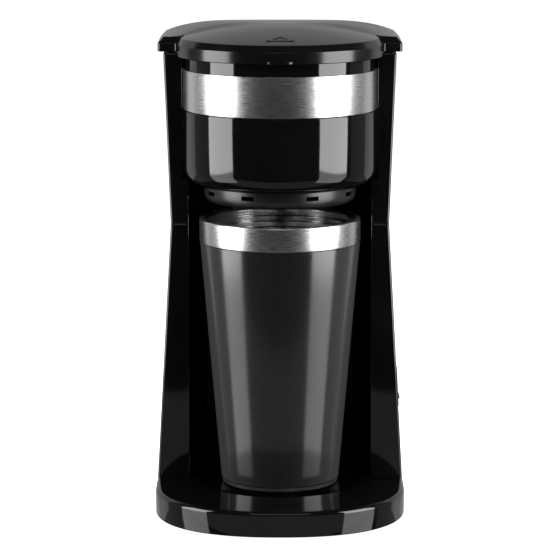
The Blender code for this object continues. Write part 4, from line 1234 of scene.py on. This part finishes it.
def buildFilter():  # woven cone in a moulded frame: rim, ribs from Geometry Nodes and a ring at the floor
    low, high = filterBox
    skin, weave, edge = sieve["skin"], sieve["weave"], sieve["edge"]
    wide = high.x - body["wall"]
    top = high.z - skin
    floor = low.z
    base = sieve["base"]
    inset = (skin - weave) / 2
    inner = inset + weave
    cone = turnedMesh("filterCone", [
        (0, floor + inner, 0), (base - inner, floor + inner, 0.5 * mm), (wide - inner, top, 0),
        (wide - inset, top, 0), (base - inset, floor + inset, 0.5 * mm), (0, floor + inset, 0),
    ])
    addPiece("filterCone", cone, [filterWeave], "body", ["permanent_filter"])
    step = wide - sieve["rimStep"]
    under = top - sieve["rim"]
    rim = turnedMesh("filterRim", [
        (high.x, high.z, edge), (high.x, top, edge), (wide, top, 0), (step, under, edge),
        (step - skin, under, edge), (wide - skin, high.z, edge),
    ])
    addPiece("filterRim", rim, [satinBlack], "body")
    reach = sieve["baseRing"]
    rise = floor + reach
    out = base + reach * (wide - base) / (top - floor)
    ring = turnedMesh("filterFloorRing", [
        (out, rise, edge), (base, floor, edge), (base - reach, floor, edge),
        (base - reach, floor + skin, edge), (base - skin, floor + skin, 0), (out - skin, rise, edge),
    ])
    addPiece("filterFloorRing", ring, [satinBlack], "body")
    profile = [(0, floor), (base, floor), (wide, top), (wide - skin, top)]
    profile += [(base - skin, floor + skin), (0, floor + skin)]
    half = sieve["ribWidth"] / 2
    rib = loopMesh("filterRib", [[(x, y, z) for x, z in profile] for y in (-half, half)])
    item = itemObject("filterRibItem", rib)
    values = {"Item": item, "Count": sieve["ribs"], "Start Angle": math.pi / 2, "Material": satinBlack}
    ribs = growMesh(ringTree(), bpy.data.meshes.new("ribSeed"), values)
    addPiece("filterRibs", ribs, [], "body")
    bpy.data.objects.remove(item)


buildScrews()
buildFilter()
print("screws and filter built")


# materials of the carried-over nodes

nodeFinishes = {
    "base_bottom_cover": satinBlack, "filter_basket": satinBlack, "lid_splash_plate": satinBlack,
    "riser_tube": satinBlack, "spout_arm": satinBlack, "check_valve_body": satinBlack,
    "cord_gland": rubberMaterial, "valve_seal": rubberMaterial, "riser_seal": rubberMaterial,
    "cold_water_hose": siliconeMaterial, "hot_water_hose": siliconeMaterial,
    "heater_casting": castMaterial, "heater_tube": castMaterial,
    "heater_bracket": screwSteel, "check_valve_ball": screwSteel,
    "thermostat": ceramicMaterial, "thermal_fuse": ceramicMaterial, "terminal_block": ceramicMaterial,
    "permanent_filter": filterWeave,
    "supply_wire": sleeveMaterial, "switched_wire": sleeveMaterial, "return_wire": sleeveMaterial,
}
for name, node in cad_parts.items():
    finish = nodeFinishes.get(name)
    if name.startswith("foot_"):
        finish = rubberMaterial
    elif "screw" in name or name.startswith("hinge_pin"):
        finish = screwSteel
    if finish:
        node.data.materials.clear()
        node.data.materials.append(finish)


# stage, light and camera

stage = {
    "floorHalf": 8.0, "dim": 0.02, "stripReach": 1.3,
    "strips": [  # degrees round from the front, low, high, width, radiance
        ("stripLeft", -74, -0.10, 1.15, 0.80, 7.5), ("stripRight", 66, -0.10, 1.15, 0.90, 8.0),
        ("stripLeftLow", -74, -0.80, -0.10, 0.80, 2.4), ("stripRightLow", 66, -0.80, -0.10, 0.90, 2.4),
    ],
    "walls": [  # x, y, low, high, width, radiance
        ("sideLeft", -1.9, 0.9, -1.2, 1.6, 1.8, 0.16), ("sideRight", 1.9, 0.9, -1.2, 1.6, 1.8, 0.16),
        ("backdrop", 0, 2.5, -1.2, 2.6, 8.4, 0.40),
    ],
    "floorCard": {"middle": -0.225, "width": 1.4, "depth": 0.27, "drop": 0.002, "radiance": 0.24},
    "front": {"place": (0, -2.2, 1.9), "aim": (0, 0, 0.15), "width": 1.6, "height": 0.8, "radiance": 1.2},
}
view = {"lens": 191.96, "sensor": 36, "place": (0, -1.80, 0.445), "down": 9.578}


def buildFloor():
    bm = bmesh.new()
    bmesh.ops.create_grid(bm, x_segments=2, y_segments=2, size=stage["floorHalf"])
    floor = bpy.data.objects.new("floor", finishMesh("floor", bm))
    scene.collection.objects.link(floor)
    material, tree, shader = startMaterial("paleFloor")[:3]
    setInputs(tree, shader, {
        "Base Color": (0.92, 0.92, 0.92, 1), "Roughness": 0.9, "Emission Color": (1, 1, 1, 1),
        "Emission Strength": 1.0,
    })
    floor.data.materials.append(material)
    floor.visible_glossy = False
    floor.visible_diffuse = False


def buildWorld():  # white to the camera, nearly dark to the object
    world = bpy.data.worlds.new("studio")
    scene.world = world
    world.use_nodes = True
    tree = world.node_tree
    bright = tree.nodes["Background"]
    setInputs(tree, bright, {"Color": (1, 1, 1, 1), "Strength": 1.0})
    dim = makeNode(tree, "ShaderNodeBackground", {"Color": (1, 1, 1, 1), "Strength": stage["dim"]})
    path = makeNode(tree, "ShaderNodeLightPath")
    mix = makeNode(tree, "ShaderNodeMixShader")
    for socket, value in zip(mix.inputs, (path.outputs["Is Camera Ray"], dim.outputs[0], bright.outputs[0])):
        tree.links.new(value, socket)
    setInputs(tree, tree.nodes["World Output"], {"Surface": mix.outputs[0]})


def addPanel(name, place, aim, width, height, radiance):
    data = bpy.data.lights.new(name, "AREA")
    data.shape = "RECTANGLE"
    data.size = width
    data.size_y = height
    data.energy = radiance * width * height * math.pi
    panel = bpy.data.objects.new(name, data)
    scene.collection.objects.link(panel)
    panel.location = place
    panel.rotation_euler = (Vector(aim) - Vector(place)).to_track_quat("-Z", "Y").to_euler()
    panel.visible_camera = False


def addUpright(name, x, y, low, high, width, radiance):  # a panel on end, turned to the object
    middle = (low + high) / 2
    addPanel(name, (x, y, middle), (0, 0, middle), width, high - low, radiance)


def buildLights():
    reach = stage["stripReach"]
    for name, degrees, low, high, width, radiance in stage["strips"]:
        angle = math.radians(degrees)
        addUpright(name, reach * math.sin(angle), -reach * math.cos(angle), low, high, width, radiance)
    for wall in stage["walls"]:
        addUpright(*wall)
    card = stage["floorCard"]
    middle = card["middle"]
    spot = (0, middle, -card["drop"])
    addPanel("floorCard", spot, (0, middle, 1), card["width"], card["depth"], card["radiance"])
    front = stage["front"]
    addPanel("frontTop", front["place"], front["aim"], front["width"], front["height"], front["radiance"])


def buildCamera():
    data = bpy.data.cameras.new("camera")
    data.lens = view["lens"]
    data.sensor_width = view["sensor"]
    camera = bpy.data.objects.new("camera", data)
    scene.collection.objects.link(camera)
    camera.location = view["place"]
    camera.rotation_euler = (math.radians(90 - view["down"]), 0, 0)
    scene.camera = camera


buildFloor()
buildWorld()
buildLights()
buildCamera()
scene.view_settings.view_transform = "Standard"
print("stage built")
